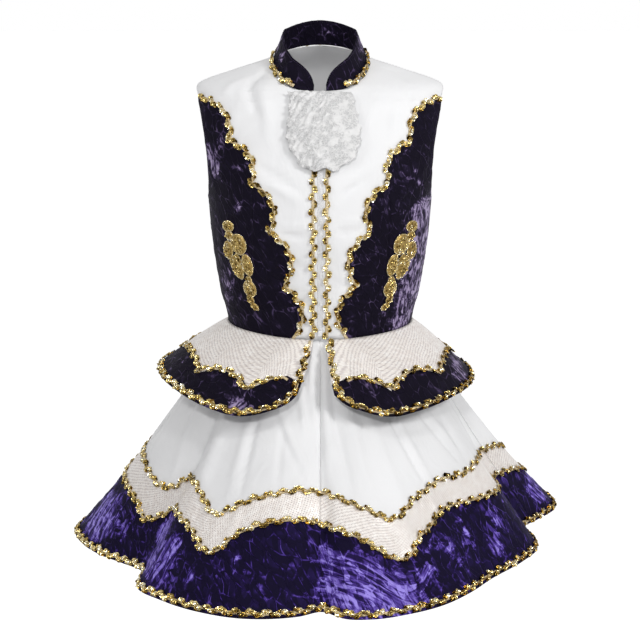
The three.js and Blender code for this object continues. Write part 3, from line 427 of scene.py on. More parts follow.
# ---- Materials ----
class Paint:
    """A material under construction: makes nodes and joins them."""

    def __init__(self, name):
        self.material = bpy.data.materials.new(name)
        self.material.use_nodes = True
        self.nodes = self.material.node_tree.nodes
        self.links = self.material.node_tree.links
        self.shader = self.nodes["Principled BSDF"]

    def set(self, **values):
        for key, value in values.items():
            self.shader.inputs[key.replace("_", " ")].default_value = value
        return self

    def node(self, kind, inputs=None, **settings):
        made = self.nodes.new("ShaderNode" + kind)
        for key, value in settings.items():
            setattr(made, key, value)
        for key, value in (inputs or {}).items():
            if isinstance(value, bpy.types.NodeSocket):
                self.links.new(value, made.inputs[key])
            else:
                made.inputs[key].default_value = value
        return made

    def place(self, stretch=(1, 1, 1), turn=(0, 0, 0), uv=False):
        source = self.node("TexCoord").outputs["UV" if uv else "Object"]
        return self.node("Mapping", {"Vector": source, "Scale": stretch, "Rotation": turn}).outputs[0]

    def noise(self, where, scale, detail=3.0, rough=0.5, distort=0.0):
        return self.node("TexNoise", {"Vector": where, "Scale": scale, "Detail": detail,
                                      "Roughness": rough, "Distortion": distort}).outputs["Fac"]

    def cells(self, where, scale, **inputs):
        return self.node("TexVoronoi", {"Vector": where, "Scale": scale, **inputs}).outputs

    def cell_edges(self, where, scale):
        edges = self.node("TexVoronoi", {"Vector": where, "Scale": scale}, feature="DISTANCE_TO_EDGE")
        return edges.outputs["Distance"]

    def attribute(self, name):
        return self.node("Attribute", attribute_name=name).outputs["Fac"]

    def ramp(self, value, stops):
        made = self.node("ValToRGB", {"Fac": value})
        while len(made.color_ramp.elements) < len(stops):
            made.color_ramp.elements.new(0.5)
        for element, (position, color) in zip(made.color_ramp.elements, stops):
            element.position = position
            element.color = (*color, 1) if hasattr(color, "__len__") else (color, color, color, 1)
        return made.outputs[0]

    def math(self, operation, a, b):
        return self.node("Math", {0: a, 1: b}, operation=operation).outputs[0]

    def vector(self, operation, a, b):
        output = "Value" if operation == "DOT_PRODUCT" else "Vector"
        return self.node("VectorMath", {0: a, 1: b}, operation=operation).outputs[output]

    def times(self, a, b):
        return self.math("MULTIPLY", a, b)

    def plus(self, a, b):
        return self.math("ADD", a, b)

    def least(self, value, floor):
        """A share from 0 to 1 squeezed to lie between a floor and 1."""
        return self.node("Math", {0: value, 1: 1 - floor, 2: floor}, operation="MULTIPLY_ADD").outputs[0]

    def bump(self, *layers):
        normal = None
        for height, distance in layers:
            inputs = {"Height": height, "Distance": distance, "Strength": 1.0}
            if normal is not None:
                inputs["Normal"] = normal
            normal = self.node("Bump", inputs).outputs[0]
        self.links.new(normal, self.shader.inputs["Normal"])
        return self

    def feed(self, socket, value):
        self.links.new(value, self.shader.inputs[socket])
        return self

    def color(self, value, stops):
        return self.feed("Base Color", self.ramp(value, stops))


PILE_SWAY = (0.02, 0.02, 0.02)
SHARD_STRETCH = (1.0, 0.75, 0.36)
# The painted sheen shades each facet along this slope, lighter on one side and darker on the other; the same
# slope tilts the facet's bump.
SHARD_SLOPE = (38.0, -30.0, 52.0)  # how the tone runs across a facet


def crushed_velvet(name, stops, light, grain, seed):
    """Pile crushed into sharp facets that lie different ways, with painted sheen in its base colour: facets,
    crease lines and strokes are painted lighter where light would catch the pile. A point attribute gives how
    much painted sheen lies there, and the lie attribute how far its painted strokes turn from down to across."""
    paint = Paint(name)
    place = paint.place(turn=(0.3 * seed, 0.5, 0.2 * seed))
    sway = paint.node("TexNoise", {"Vector": place, "Scale": 21.0, "Detail": 1.0}).outputs["Color"]
    where = paint.vector("ADD", place, paint.vector("MULTIPLY", sway, PILE_SWAY))
    shards = paint.node("Mapping", {"Vector": where, "Scale": SHARD_STRETCH}).outputs[0]
    # Painted sheen: the base colour runs from near-black up to lavender on facets, crease lines and strokes,
    # where light would catch the pile.
    cells = paint.cells(shards, 150.0)
    slope = paint.vector("DOT_PRODUCT", paint.vector("SUBTRACT", shards, cells["Position"]), SHARD_SLOPE)
    lot = paint.node("SeparateColor", {"Color": cells["Color"]}).outputs[0]
    facet = paint.ramp(paint.plus(lot, slope), [(0.6, 0.0), (0.74, 0.25), (0.8, 0.8), (1.1, 1.0)])
    across = (grain[1], grain[0], 1)
    down = paint.noise(paint.place(stretch=grain, turn=(0, 0, 0.3), uv=True), 160, 4, 0.54, 0.9)
    over = paint.noise(paint.place(stretch=across, turn=(0, 0, -0.25), uv=True), 130, 4, 0.54, 1.1)
    strokes = paint.node("Mix", {0: paint.attribute("lie"), 2: down, 3: over}, data_type="FLOAT").outputs[0]
    brushed = paint.ramp(strokes, [(0.43, 0.0), (0.5, 0.4), (0.6, 1.0)])
    line = paint.ramp(paint.cell_edges(shards, 84.0), [(0.0, 1.0), (0.03, 0.6), (0.065, 0.0)])
    broken = paint.ramp(paint.noise(place, 70, 3, 0.6), [(0.46, 0.0), (0.62, 1.0)])
    quiet = paint.ramp(paint.noise(place, 19, 3, 0.55, 1.0), [(0.5, 0.0), (0.72, 1.0)])
    nap = paint.attribute("nap")
    edge = paint.times(paint.math("SUBTRACT", paint.noise(where, 52, 5, 0.62), 0.5), 1.7)
    blotch = paint.ramp(paint.plus(nap, edge), [(0.3, 0.0), (0.4, 0.7), (0.62, 1.0)])
    glow = paint.times(blotch, paint.least(brushed, 0.16))
    sharp = paint.times(facet, paint.least(paint.math("MAXIMUM", quiet, nap), 0.1))
    sharp = paint.times(sharp, paint.least(brushed, 0.45))
    # This sum is the painted sheen. It sets the base colour and lowers the roughness.
    amount = paint.plus(paint.times(glow, 0.9), paint.times(sharp, 0.85))
    amount = paint.plus(amount, paint.times(paint.times(line, broken), 0.5))
    paint.color(amount, stops)
    paint.feed("Roughness", paint.ramp(amount, [(0.0, 0.75), (1.0, 0.42)]))
    paint.set(Sheen_Weight=0.05, Sheen_Roughness=0.4, Sheen_Tint=(*light, 1), Specular_IOR_Level=0.12)
    fuzz = paint.noise(paint.place(), 1100, 2)
    return paint.bump((slope, 0.0010), (line, 0.0007), (strokes, 0.0006), (fuzz, 0.0001)).material


def white_satin():
    paint = Paint("satin_white")
    wrinkle = paint.noise(paint.place(stretch=(1, 1, 0.5), turn=(0, 0.6, 0)), 20, 3, 0.45, 0.8)
    weave = paint.noise(paint.place(stretch=(1, 1, 0.08)), 1400, 2)
    tones = [(0.3, (0.76, 0.76, 0.765)), (0.7, (0.83, 0.83, 0.835))]
    paint.color(paint.noise(paint.place(), 7, 2), tones)
    paint.set(Roughness=0.52, Sheen_Weight=0.04, Sheen_Roughness=0.3, Specular_IOR_Level=0.2)
    return paint.bump((wrinkle, 0.003), (weave, 0.00004)).material


def cream_mesh():
    """Metallic mesh: even rows of small holes over a ground whose tone varies from cell to cell, painted as
    the shimmer of metallic thread.
    """
    paint = Paint("mesh_cream")
    where = paint.place(uv=True, turn=(0, 0, math.radians(24)))
    cells = paint.cells(where, 300.0, Randomness=0.18)
    hole = paint.ramp(cells["Distance"], [(0.14, 0.9), (0.34, 0.0)])
    # Painted glints: each cell's ground is lightened at random for the shimmer of the metallic thread.
    spark = paint.node("TexWhiteNoise", {"Vector": cells["Position"]}).outputs["Value"]
    rows = paint.noise(paint.place(uv=True, stretch=(0.15, 1, 1)), 170, 2)
    ground = paint.ramp(paint.plus(paint.times(spark, 0.4), paint.times(rows, 0.3)), [
        (0.1, (0.76, 0.7, 0.65)), (0.36, (0.87, 0.82, 0.775)), (0.62, (0.96, 0.935, 0.9)),
    ])
    dark = paint.node("Mix", {0: hole, 6: ground, 7: (0.36, 0.30, 0.30, 1)}, data_type="RGBA")
    paint.feed("Base Color", dark.outputs[2])
    paint.set(Roughness=0.4, Metallic=0.12, Specular_IOR_Level=0.5)
    return paint.bump((cells["Distance"], 0.0004), (paint.noise(paint.place(), 26), 0.0008)).material


def white_lace():
    """Crinkled lace: an open ground between raised cords."""
    paint = Paint("lace_white")
    where = paint.place(uv=True)
    thread = paint.ramp(paint.cell_edges(where, 260.0), [(0.05, 1.0), (0.16, 0.0)])
    motif = paint.ramp(paint.noise(where, 70), [(0.48, 0.0), (0.56, 1.0)])
    solid = paint.math("MAXIMUM", thread, motif)
    paint.color(solid, [(0.0, (0.56, 0.56, 0.56)), (1.0, (0.7, 0.695, 0.69))])
    paint.set(Roughness=0.6, Sheen_Weight=0.25)
    return paint.bump((solid, 0.0005), (paint.noise(where, 500), 0.0002)).material


def gold_sequins():
    """Each sequin has its own tone, from pale gold to brown, with painted light: painted shade in its cup, a
    painted highlight on its rim and painted glints.
    """
    paint = Paint("sequin_gold")
    # The near-black brown and near-white ends of this ramp are painted shade and painted glints.
    paint.color(paint.attribute("tone"), [
        (0.0, (0.07, 0.042, 0.01)), (0.25, (0.31, 0.21, 0.055)), (0.5, (0.66, 0.5, 0.18)),
        (0.75, (0.86, 0.72, 0.38)), (1.0, (1.0, 0.96, 0.8)),
    ])
    paint.set(Metallic=1.0, Roughness=0.24)
    return paint.bump((paint.noise(paint.place(), 700, 2), 0.0001)).material


def embroidery():
    """Gold metallic satin stitch, packed side by side."""
    paint = Paint("embroidery_gold")
    strands = paint.noise(paint.place(stretch=(1, 1, 0.2), turn=(0, 0.5, 0.3)), 900, 3, 0.6)
    patches = paint.noise(paint.place(), 120, 2)
    paint.color(paint.plus(paint.times(strands, 0.6), paint.times(patches, 0.4)), [
        (0.3, (0.16, 0.085, 0.018)), (0.55, (0.5, 0.35, 0.11)), (0.75, (0.85, 0.7, 0.36)),
    ])
    paint.set(Metallic=0.7, Roughness=0.4)
    return paint.bump((strands, 0.0004)).material


def grained(name, scale, detail, rough, stops, depth, socket="Base Color", **values):
    """One fine grain gives a socket its tones and the surface its relief."""
    paint = Paint(name)
    grain = paint.noise(paint.place(), scale, detail, rough)
    paint.feed(socket, paint.ramp(grain, stops)).set(**values)
    return paint.bump((grain, depth)).material


def thread(name, color):
    darker = tuple(value * 0.6 for value in color)
    return grained(name, 1800, 2, 0.5, [(0.3, darker), (0.7, color)], 0.00008, Roughness=0.55)


def zip_cloth():
    paint = Paint("zip_white")
    ribs = paint.node("TexWave", {"Vector": paint.place(), "Scale": 420.0, "Distortion": 0.2},
                      bands_direction="Z").outputs["Fac"]
    paint.color(ribs, [(0.2, 0.82), (0.8, 0.92)])
    paint.set(Roughness=0.6)
    return paint.bump((ribs, 0.0002)).material


# Colour ramps of the velvets: near-black pile up to painted sheen in lavender and violet at the light end.
PLUM = crushed_velvet("velvet_plum", [
    (0.0, (0.0035, 0.0018, 0.0085)), (0.2, (0.008, 0.0045, 0.018)), (0.45, (0.05, 0.034, 0.085)),
    (0.7, (0.16, 0.115, 0.235)), (1.0, (0.36, 0.29, 0.47)),
], (0.3, 0.24, 0.45), (1, 0.4, 1), 1)
VIOLET = crushed_velvet("velvet_violet", [
    (0.0, (0.004, 0.0015, 0.018)), (0.2, (0.013, 0.005, 0.06)), (0.45, (0.06, 0.03, 0.24)),
    (0.7, (0.15, 0.095, 0.46)), (1.0, (0.32, 0.25, 0.75)),
], (0.3, 0.22, 0.8), (1, 0.2, 1), 2)
WHITE_THREAD = thread("thread_white", (0.72, 0.72, 0.73))
PLUM_THREAD = thread("thread_plum", (0.06, 0.035, 0.1))
SATIN = white_satin()
MESH = cream_mesh()
LACE = white_lace()
GOLD = gold_sequins()
BRAID = grained("braid_cream", 900, 3, 0.6, [(0.3, (0.4, 0.28, 0.12)), (0.7, (0.8, 0.68, 0.45))], 0.0003,
                Roughness=0.6)
EMBROIDERY = embroidery()
ZIP_CLOTH = zip_cloth()
ZIP_PLASTIC = grained("zip_plastic", 300, 2, 0.5, [(0.3, 0.25), (0.7, 0.4)], 0.00008, "Roughness",
                      Base_Color=(0.76, 0.76, 0.78, 1))


# ---- Making meshes ----
def add(name, data):
    made = bpy.data.objects.new(name, data)
    bpy.context.scene.collection.objects.link(made)
    return made


def new_object(name, vertices, faces, material):
    mesh = bpy.data.meshes.new(name)
    mesh.from_pydata([tuple(v) for v in np.asarray(vertices) * MM], [], faces)
    mesh.polygons.foreach_set("use_smooth", [True] * len(mesh.polygons))
    mesh.materials.append(material)
    made = add(name, mesh)
    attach(made, "root")
    return made


def store(made, label, values):
    """Keeps a value for each point, which the materials read."""
    made.data.attributes.new(label, "FLOAT", "POINT").data.foreach_set("value", values.ravel())


def grid_faces(rows, columns, flip, ring=False):
    faces = []
    for i in range(rows - 1):
        for j in range(columns if ring else columns - 1):
            a, b = i * columns + j, i * columns + (j + 1) % columns
            quad = (a, b, b + columns, a + columns)
            faces.append(quad[::-1] if flip else quad)
    return faces


def run_lengths(points, axis):
    steps = np.linalg.norm(np.diff(points, axis=axis), axis=-1)
    zero = np.zeros_like(np.take(steps, [0], axis=axis))
    return np.concatenate([zero, np.cumsum(steps, axis=axis)], axis=axis)


def patches_at(points, surface, rows):
    """A value over a cloth, raised or lowered in soft round patches. The first row is its base."""
    value = np.full(points.shape[:-1], float(rows[0]))
    for azimuth, along, radius, amount in rows[1:]:
        centre = surface(np.array([float(azimuth)]), np.array([float(along)]))[0]
        value += amount * np.exp(-((points - centre) ** 2).sum(-1) / radius ** 2)
    return np.clip(value, 0, 1)


def cloth(name, surface, azimuth, along, material, held, rests_on=(), relief=None, lift=CLOTH,
          thickness=SHELL, nap=None):
    """A thin shell on a grid of azimuths and alongs; relief moves its outer face out or in."""
    points = surface(azimuth, along)
    normal = outward(surface, azimuth, along)
    across, down = run_lengths(points, 1), run_lengths(points, 0)
    height = lift + (relief(points, azimuth, along) if relief else 0)
    vertices = points + normal * np.broadcast_to(height, points.shape[:-1])[..., None]
    facing = np.cross(points[0, 1] - points[0, 0], points[1, 0] - points[0, 0])
    faces = grid_faces(*points.shape[:2], float(np.dot(facing, normal[0, 0])) < 0)
    made = new_object(f"{name}_cloth", vertices.reshape(-1, 3), faces, material)
    layer = made.data.uv_layers.new(name="metres")
    loops = np.empty(len(made.data.loops), np.int64)
    made.data.loops.foreach_get("vertex_index", loops)
    flat = np.stack([(across - across[:, -1:] / 2).ravel(), down.ravel()], axis=-1) * MM
    layer.data.foreach_set("uv", flat[loops].ravel())
    for label, rows in (nap or {}).items():
        store(made, label, patches_at(points, surface, rows))
    shell = made.modifiers.new("thickness", "SOLIDIFY")
    shell.thickness = thickness * MM
    shell.offset = -1
    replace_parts(made, name)


def between(inner, outer, columns):
    """A grid row by row, from each row's inner to its outer value."""
    t = np.linspace(0, 1, columns)
    return inner[:, None] + (outer - inner)[:, None] * t[None]


# ---- Bodice ----
FINE = 12  # steps to a scallop
FRONT_SCALLOPS = scallop_line(FRONT_NOTCHES, FINE)
BACK_SCALLOPS = scallop_line(BACK_NOTCHES, FINE)
SHOULDER_LEVELS = np.concatenate([
    np.linspace(-36, -22, 12), np.linspace(-21, -18, 7), np.linspace(-16.5, 17.2, 30),
])


def shoulder_edge(level, back=False):
    return np.where(level < SHOULDER_TIP, armhole(level, back), 90.0)


def side_seam(level, back=False):
    return np.where(level < UNDERARM, 90.0, armhole(level, back))


SATIN_DEPTH = 1.5  # times the heights in the crease tables


def velvet_relief(size, depth, seed):
    return lambda points, azimuth, along: depth * crumple(points, size, seed)


def bodice_panel(name, inner, outer, levels, columns, material, relief, **finish):
    """A panel between two lines of azimuths, with a value of each for each level."""
    along = np.repeat(levels[:, None], columns, axis=1)
    cloth(name, torso, between(inner, outer, columns), along, material, "stretched", relief=relief, **finish)


def satin_panel(name, inner, outer, levels, columns, rows):
    bodice_panel(name, inner, outer, levels, columns, SATIN,
                 lambda points, azimuth, along: SATIN_DEPTH * creases(points, torso, rows))


def velvet_panel(name, inner, outer, levels, columns, base):
    bodice_panel(name, inner, outer, levels, columns, PLUM, velvet_relief(size=15, depth=0.9, seed=3),
                 nap={"nap": [base] + BODICE_PAINTED_SHEEN})


def front_satin(side, word):
    x, z = FRONT_SCALLOPS[::-1].T
    levels = np.concatenate([z, SHOULDER_LEVELS])
    at_neck = np.interp(levels, NECK[:, 1], NECK[:, 0])
    inner = np.where(levels < NECK[0, 1], azimuth_at(ZIP_HALF, levels), at_neck)
    outer = np.concatenate([azimuth_at(x, z), shoulder_edge(SHOULDER_LEVELS)])
    satin_panel(f"front_satin_{word}", inner * side, outer * side, levels, 44, SATIN_CREASES)


def front_velvet(side, word):
    x, z = FRONT_SCALLOPS[PRINCESS_START * FINE:].T
    outer = np.interp(z, *PRINCESS.T)
    outer[0] = x[0] + PRINCESS_TIP
    velvet_panel(f"front_velvet_{word}", azimuth_at(x, z) * side, azimuth_at(outer, z) * side, z, 16, 0.05)


def with_underarm(line):
    """Adds levels near the underarm, where the armhole turns quickly."""
    extra = np.linspace(UNDERARM, UNDERARM + 10, 8)
    levels = np.sort(np.concatenate([line[:, 1], extra]))[::-1]
    order = np.argsort(line[:, 1])
    return np.stack([np.interp(levels, line[order, 1], line[order, 0]), levels], axis=-1)


def side_velvet(side, word):
    x, z = with_underarm(FRONT_SCALLOPS).T
    inner = np.where(z > FRONT_NOTCHES[PRINCESS_START][1], x, np.interp(z, *PRINCESS.T))
    velvet_panel(f"side_velvet_{word}", azimuth_at(inner, z) * side, side_seam(z) * side, z, 26, 0.05)


def back_velvet(side, word):
    x, z = with_underarm(BACK_SCALLOPS).T
    inner, outer = side_seam(z, True), azimuth_at(x, z, True)
    velvet_panel(f"back_velvet_{word}", inner * side, outer * side, z, 32, 0.08)


def back_satin():
    x, z = BACK_SCALLOPS[::-1].T
    nape = np.linspace(18.5, 30.2, 12)
    at_neck = np.interp(nape, NECK[:, 1], NECK[:, 0])
    edge = np.concatenate([azimuth_at(x, z, True), shoulder_edge(SHOULDER_LEVELS, True), at_neck])
    levels = np.concatenate([z, SHOULDER_LEVELS, nape])
    satin_panel("back_satin", edge, 360 - edge, levels, 72, BACK_CREASES)


def stand_collar():
    azimuth = np.concatenate([np.linspace(3.0, 17, 16), np.linspace(18, 342, 150), np.linspace(343, 357, 16)])
    cloth("collar", collar, *np.meshgrid(azimuth, np.linspace(0, 1, 14)), PLUM, "stretched",
          relief=velvet_relief(size=13, depth=0.6, seed=9), lift=COLLAR_WALL, thickness=COLLAR_SHELL,
          nap={"nap": [0.04] + COLLAR_PAINTED_SHEEN})


# ---- Peplum and skirt: pieces hung between two lines of shares ----
def fixed(share):
    """A line at one share all round."""
    return lambda azimuth: np.full_like(azimuth, share)


def hung(name, surface, azimuth, share, material, relief, nap=None):
    cloth(name, surface, azimuth, share, material, "hung", rests_on=["zip_tape"], relief=relief, nap=nap)


PEPLUM_COLUMNS = 170


def peplum_front(share):
    return PEPLUM_OPENING + PEPLUM_SPREAD * share ** 2


def peplum_join(azimuth):
    side = from_front(azimuth) + PEPLUM_LEFT_TURN * np.maximum(-np.sin(np.radians(azimuth)), 0)
    i = np.clip(np.searchsorted(PEPLUM_NOTCHES, side) - 1, 0, len(PEPLUM_NOTCHES) - 2)
    t = np.clip((side - PEPLUM_NOTCHES[i]) / (PEPLUM_NOTCHES[i + 1] - PEPLUM_NOTCHES[i]), 0, 1)
    arch = np.maximum(np.sin(np.pi * t), 0) ** 0.6
    first_drop = np.where(i == 0, 0.16 * np.maximum(1 - t * 2.5, 0), 0)
    return PEPLUM_NOTCH_SHARE - PEPLUM_ARCH_RISE * arch + first_drop


def peplum_relief(points, azimuth, share):
    inner = ease(share, 0.02, 0.12) * ease(peplum_join(azimuth) - share, 0, 0.12)
    return creases(points, peplum, PEPLUM_CREASES) * inner


def peplum_panel(name, side, low, high, rows, *finish):
    t = np.linspace(0, 1, PEPLUM_COLUMNS)
    rough = lerp(PEPLUM_NOTCHES[0], 180, t) * side
    share = between(low(rough), high(rough), rows).T
    front = peplum_front(share)
    hung(name, peplum, (front + (180 - front) * t[None]) * side, share, *finish)


def make_peplum():
    for side, word in ((-1, "left"), (1, "right")):
        peplum_panel(f"peplum_mesh_{word}", side, fixed(0.005), peplum_join, 24, MESH, peplum_relief)
        peplum_panel(f"peplum_velvet_{word}", side, peplum_join, fixed(1.0), 15, PLUM,
                     velvet_relief(size=14, depth=0.7, seed=11), {"nap": [0.02] + PEPLUM_PAINTED_SHEEN})


GORES = {"front_left": (-90, 0), "front_right": (0, 90), "back_right": (90, 180), "back_left": (180, 270)}


def upper_join(azimuth):
    return smooth(UPPER_JOIN, 1, azimuth, 360)


def lower_join(azimuth):
    return smooth(LOWER_JOIN, 1, azimuth, 360)


def skirt_relief(points, azimuth, share):
    inner = ease(share, 0, 0.06) * ease(upper_join(azimuth) - share, 0, 0.05)
    return SATIN_DEPTH * creases(points, skirt, SKIRT_CREASES) * inner


def mesh_relief(points, azimuth, share):
    """Soft ribs down the mesh band, uneven in width and depth."""
    turn = np.radians(azimuth)
    where = np.stack([np.cos(turn) * 19, np.sin(turn) * 19, share * 2], axis=-1)
    ribs = hash_noise(where, 71) + 0.5 * hash_noise(where * 2.1, 72)
    inner = ease(share - upper_join(azimuth), 0, 0.03) * ease(lower_join(azimuth) - share, 0, 0.03)
    return 1.5 * ribs * inner


def hem_relief(points, azimuth, share):
    edge = ease(1 - share, 0, 0.05) * ease(share - lower_join(azimuth), 0, 0.05)
    return 1.3 * crumple(points, 20, 21) * edge


def skirt_band(name, ends, low, high, columns, rows, *finish):
    azimuth = np.linspace(*ends, columns)
    share = between(low(azimuth), high(azimuth), rows).T
    hung(name, skirt, np.broadcast_to(azimuth, share.shape), share, *finish)


def make_skirt():
    for word, ends in GORES.items():
        skirt_band(f"skirt_satin_{word}", ends, fixed(0.002), upper_join, 110, 54, SATIN, skirt_relief)
        skirt_band(f"skirt_mesh_{word}", ends, upper_join, lower_join, 110, 16, MESH, mesh_relief)
        skirt_band(f"skirt_velvet_{word}", ends, lower_join, fixed(1.0), 130, 32, VIOLET, hem_relief,
                   {"nap": [0.06] + HEM_PAINTED_SHEEN, "lie": [0.1] + HEM_LIE})


# ---- Sequin trims ----
SEQUIN_RADIUS = 3.8
SEQUIN_LEAN = 12  # degrees along the trim
SEQUIN_LEAN_SPREAD = 9
SEQUIN_ROLL = 19
SEQUIN_STAND = 1.0
SEQUIN_STEP = 0.55  # every other sequin lies this much higher, over its neighbours
ZIGZAG_HALF = 10.5  # length of one diagonal of the zigzag
ZIGZAG_REACH = 2.5
ZIGZAG_PLACES = (1.6, 5.4)  # where the sequins of a diagonal sit along it
CLOSE_PLACES = (0.9, 4.3, 7.6)
DENSE_PLACES = (0.6, 2.7, 4.8, 6.9, 9.0)
BRAID_WIDTH = 4.2
# In each ring of the cup, the third value is painted light: a painted highlight on the rim and painted shade
# in the dimple.
CUP = [(1.0, 0.0, 0.14), (0.7, -0.24, 0.0), (0.3, -0.34, -0.4)]  # radius, height, tone: rim to dimple


def sequin_template(sides=12):
    """A cupped disc with a dimple in the middle, and the painted light of each point: lighter at the rim,
    painted shade in the dimple.
    """
    angles = np.arange(sides) * 2 * np.pi / sides
    points = [(r * math.cos(a), r * math.sin(a), z) for r, z, tone in CUP for a in angles]
    tones = [tone for r, z, tone in CUP for a in angles]
    faces = grid_faces(len(CUP), sides, False, ring=True)
    faces.append(tuple((len(CUP) - 1) * sides + k for k in range(sides)))
    return np.array(points), faces, np.array(tones)


def turns(count):
    """Even angles round a full turn."""
    return np.linspace(0, 2 * np.pi, count, endpoint=False)


def axes(*vectors):
    return np.stack(vectors, axis=-1)


def scatter(name, centres, frames, scales, tones, template, material):
    """Copies of a small form, each with its own frame, size and tone, joined in one mesh."""
    points, faces, shades = template
    scales, tones = (np.broadcast_to(value, len(centres)) for value in (scales, tones))
    placed = np.einsum("nij,kj->nki", frames, points) * scales[:, None, None] + centres[:, None]
    count = len(points)
    all_faces = [tuple(i * count + k for k in face) for i in range(len(centres)) for face in faces]
    made = new_object(name, placed.reshape(-1, 3), all_faces, material)
    store(made, "tone", np.clip(tones[:, None] + shades[None], 0, 1))
    return made


def resample(points, normals, step, closed, places=None):
    """Even steps along a line, or places measured along it."""
    if closed:
        points = np.concatenate([points, points[:1]])
        normals = np.concatenate([normals, normals[:1]])
    run = np.concatenate([[0], np.cumsum(np.linalg.norm(np.diff(points, axis=0), axis=1))])
    count = max(int(round(run[-1] / step)), 2)
    at = np.linspace(0, run[-1], count, endpoint=not closed)
    if places is not None:
        repeats = max(int(run[-1] / step), 1)
        stretch = run[-1] / (repeats * step) if closed else 1
        at = (np.arange(repeats)[:, None] * step + np.array(places)).ravel() * stretch
    place, facing = (
        axes(*(np.interp(at, run, values[:, k]) for k in range(3))) for values in (points, normals)
    )
    facing = unit(facing)
    if closed:
        ahead, behind = np.roll(place, -1, axis=0), np.roll(place, 1, axis=0)
    else:
        ahead = np.concatenate([place[1:], place[-1:]])
        behind = np.concatenate([place[:1], place[:-1]])
    tangent = ahead - behind
    return at, place, facing, unit(tangent - facing * (tangent * facing).sum(1, keepdims=True))


def braid_strip(name, points, normals, closed, lift):
    at, place, facing, tangent = resample(points, normals, 4.0, closed)
    across = np.cross(facing, tangent) * BRAID_WIDTH / 2
    wobble = 1 + 0.12 * np.sin(at * 1.7)[:, None]
    low, high = lift - 0.3, lift + 0.5
    profile = [(-1, low), (-0.75, high), (0.75, high), (1, low)]
    vertices = np.stack([place + across * side * wobble + facing * rise for side, rise in profile], axis=1)
    count, sides = len(place), len(profile)
    faces = []
    for i in range(count if closed else count - 1):
        row, following = i * sides, (i + 1) % count * sides
        for k in range(sides):
            beside = (k + 1) % sides
            faces.append((row + k, following + k, following + beside, row + beside))
    if not closed:
        faces += [(0, 1, 2, 3), tuple((count - 1) * sides + k for k in (3, 2, 1, 0))]
    made = new_object(f"{name}_braid", vertices.reshape(-1, 3), faces, BRAID)
    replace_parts(made, name)


def sequin_frames(random, facing, tangent):
    """Axes of each sequin: it leans along the trim, rolls a little and is turned at random."""
    side = np.cross(facing, tangent)
    count = len(facing)
    lean = np.sin(np.radians(random.normal(SEQUIN_LEAN, SEQUIN_LEAN_SPREAD, count)))[:, None]
    roll = np.sin(np.radians(random.normal(0, SEQUIN_ROLL, count)))[:, None]
    up = unit(facing + tangent * lean + side * roll)
    one = unit(np.cross(up, side))
    two = np.cross(up, one)
    turn = random.uniform(0, 2 * np.pi, count)[:, None]
    first = one * np.cos(turn) + two * np.sin(turn)
    return axes(first, np.cross(up, first), up)


def line_on(surface, azimuth, along):
    azimuth, along = np.broadcast_arrays(np.asarray(azimuth, float), np.asarray(along, float))
    return surface(azimuth, along), outward(surface, azimuth, along)


def sequin_trim(name, surface, azimuth, along, seed, places=CLOSE_PLACES, closed=False, lift=TRIM_LIFT):
    """Braid with sequins sewn to it in a zigzag, lapping one another in small stacks."""
    random = np.random.default_rng(1000 + seed)
    points, normals = line_on(surface, azimuth, along)
    braid_strip(name, points, normals, closed, lift)
    _, place, facing, tangent = resample(points, normals, ZIGZAG_HALF, closed, places)
    count = len(place)
    diagonal = np.arange(count) // len(places)
    run = np.tile(np.array(places) / ZIGZAG_HALF, count // len(places))
    swing = 1 - 2 * (diagonal % 2)
    sway = swing * ZIGZAG_REACH * (1.1 - 0.75 * np.abs(run - 0.3)) + random.normal(0, 0.7, count)
    frames = sequin_frames(random, facing, tangent)
    rise = lift + SEQUIN_STAND + SEQUIN_STEP * (np.arange(count) % 2) + random.uniform(0, 0.5, count)
    centres = place + np.cross(facing, tangent) * sway[:, None] + facing * rise[:, None]
    scales = SEQUIN_RADIUS * random.uniform(0.88, 1.06, count)
    shared = np.repeat(random.uniform(0.35, 0.7, diagonal.max() + 1), len(places))
    # Painted glints: about one sequin in eight is painted much lighter.
    glints = (random.uniform(0, 1, count) > 0.88) * 0.4
    tones = np.clip(shared + random.normal(0, 0.17, count) + glints, 0.12, 1)
    made = scatter(f"{name}_sequins", centres, frames, scales, tones, sequin_template(), GOLD)
    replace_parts(made, name)


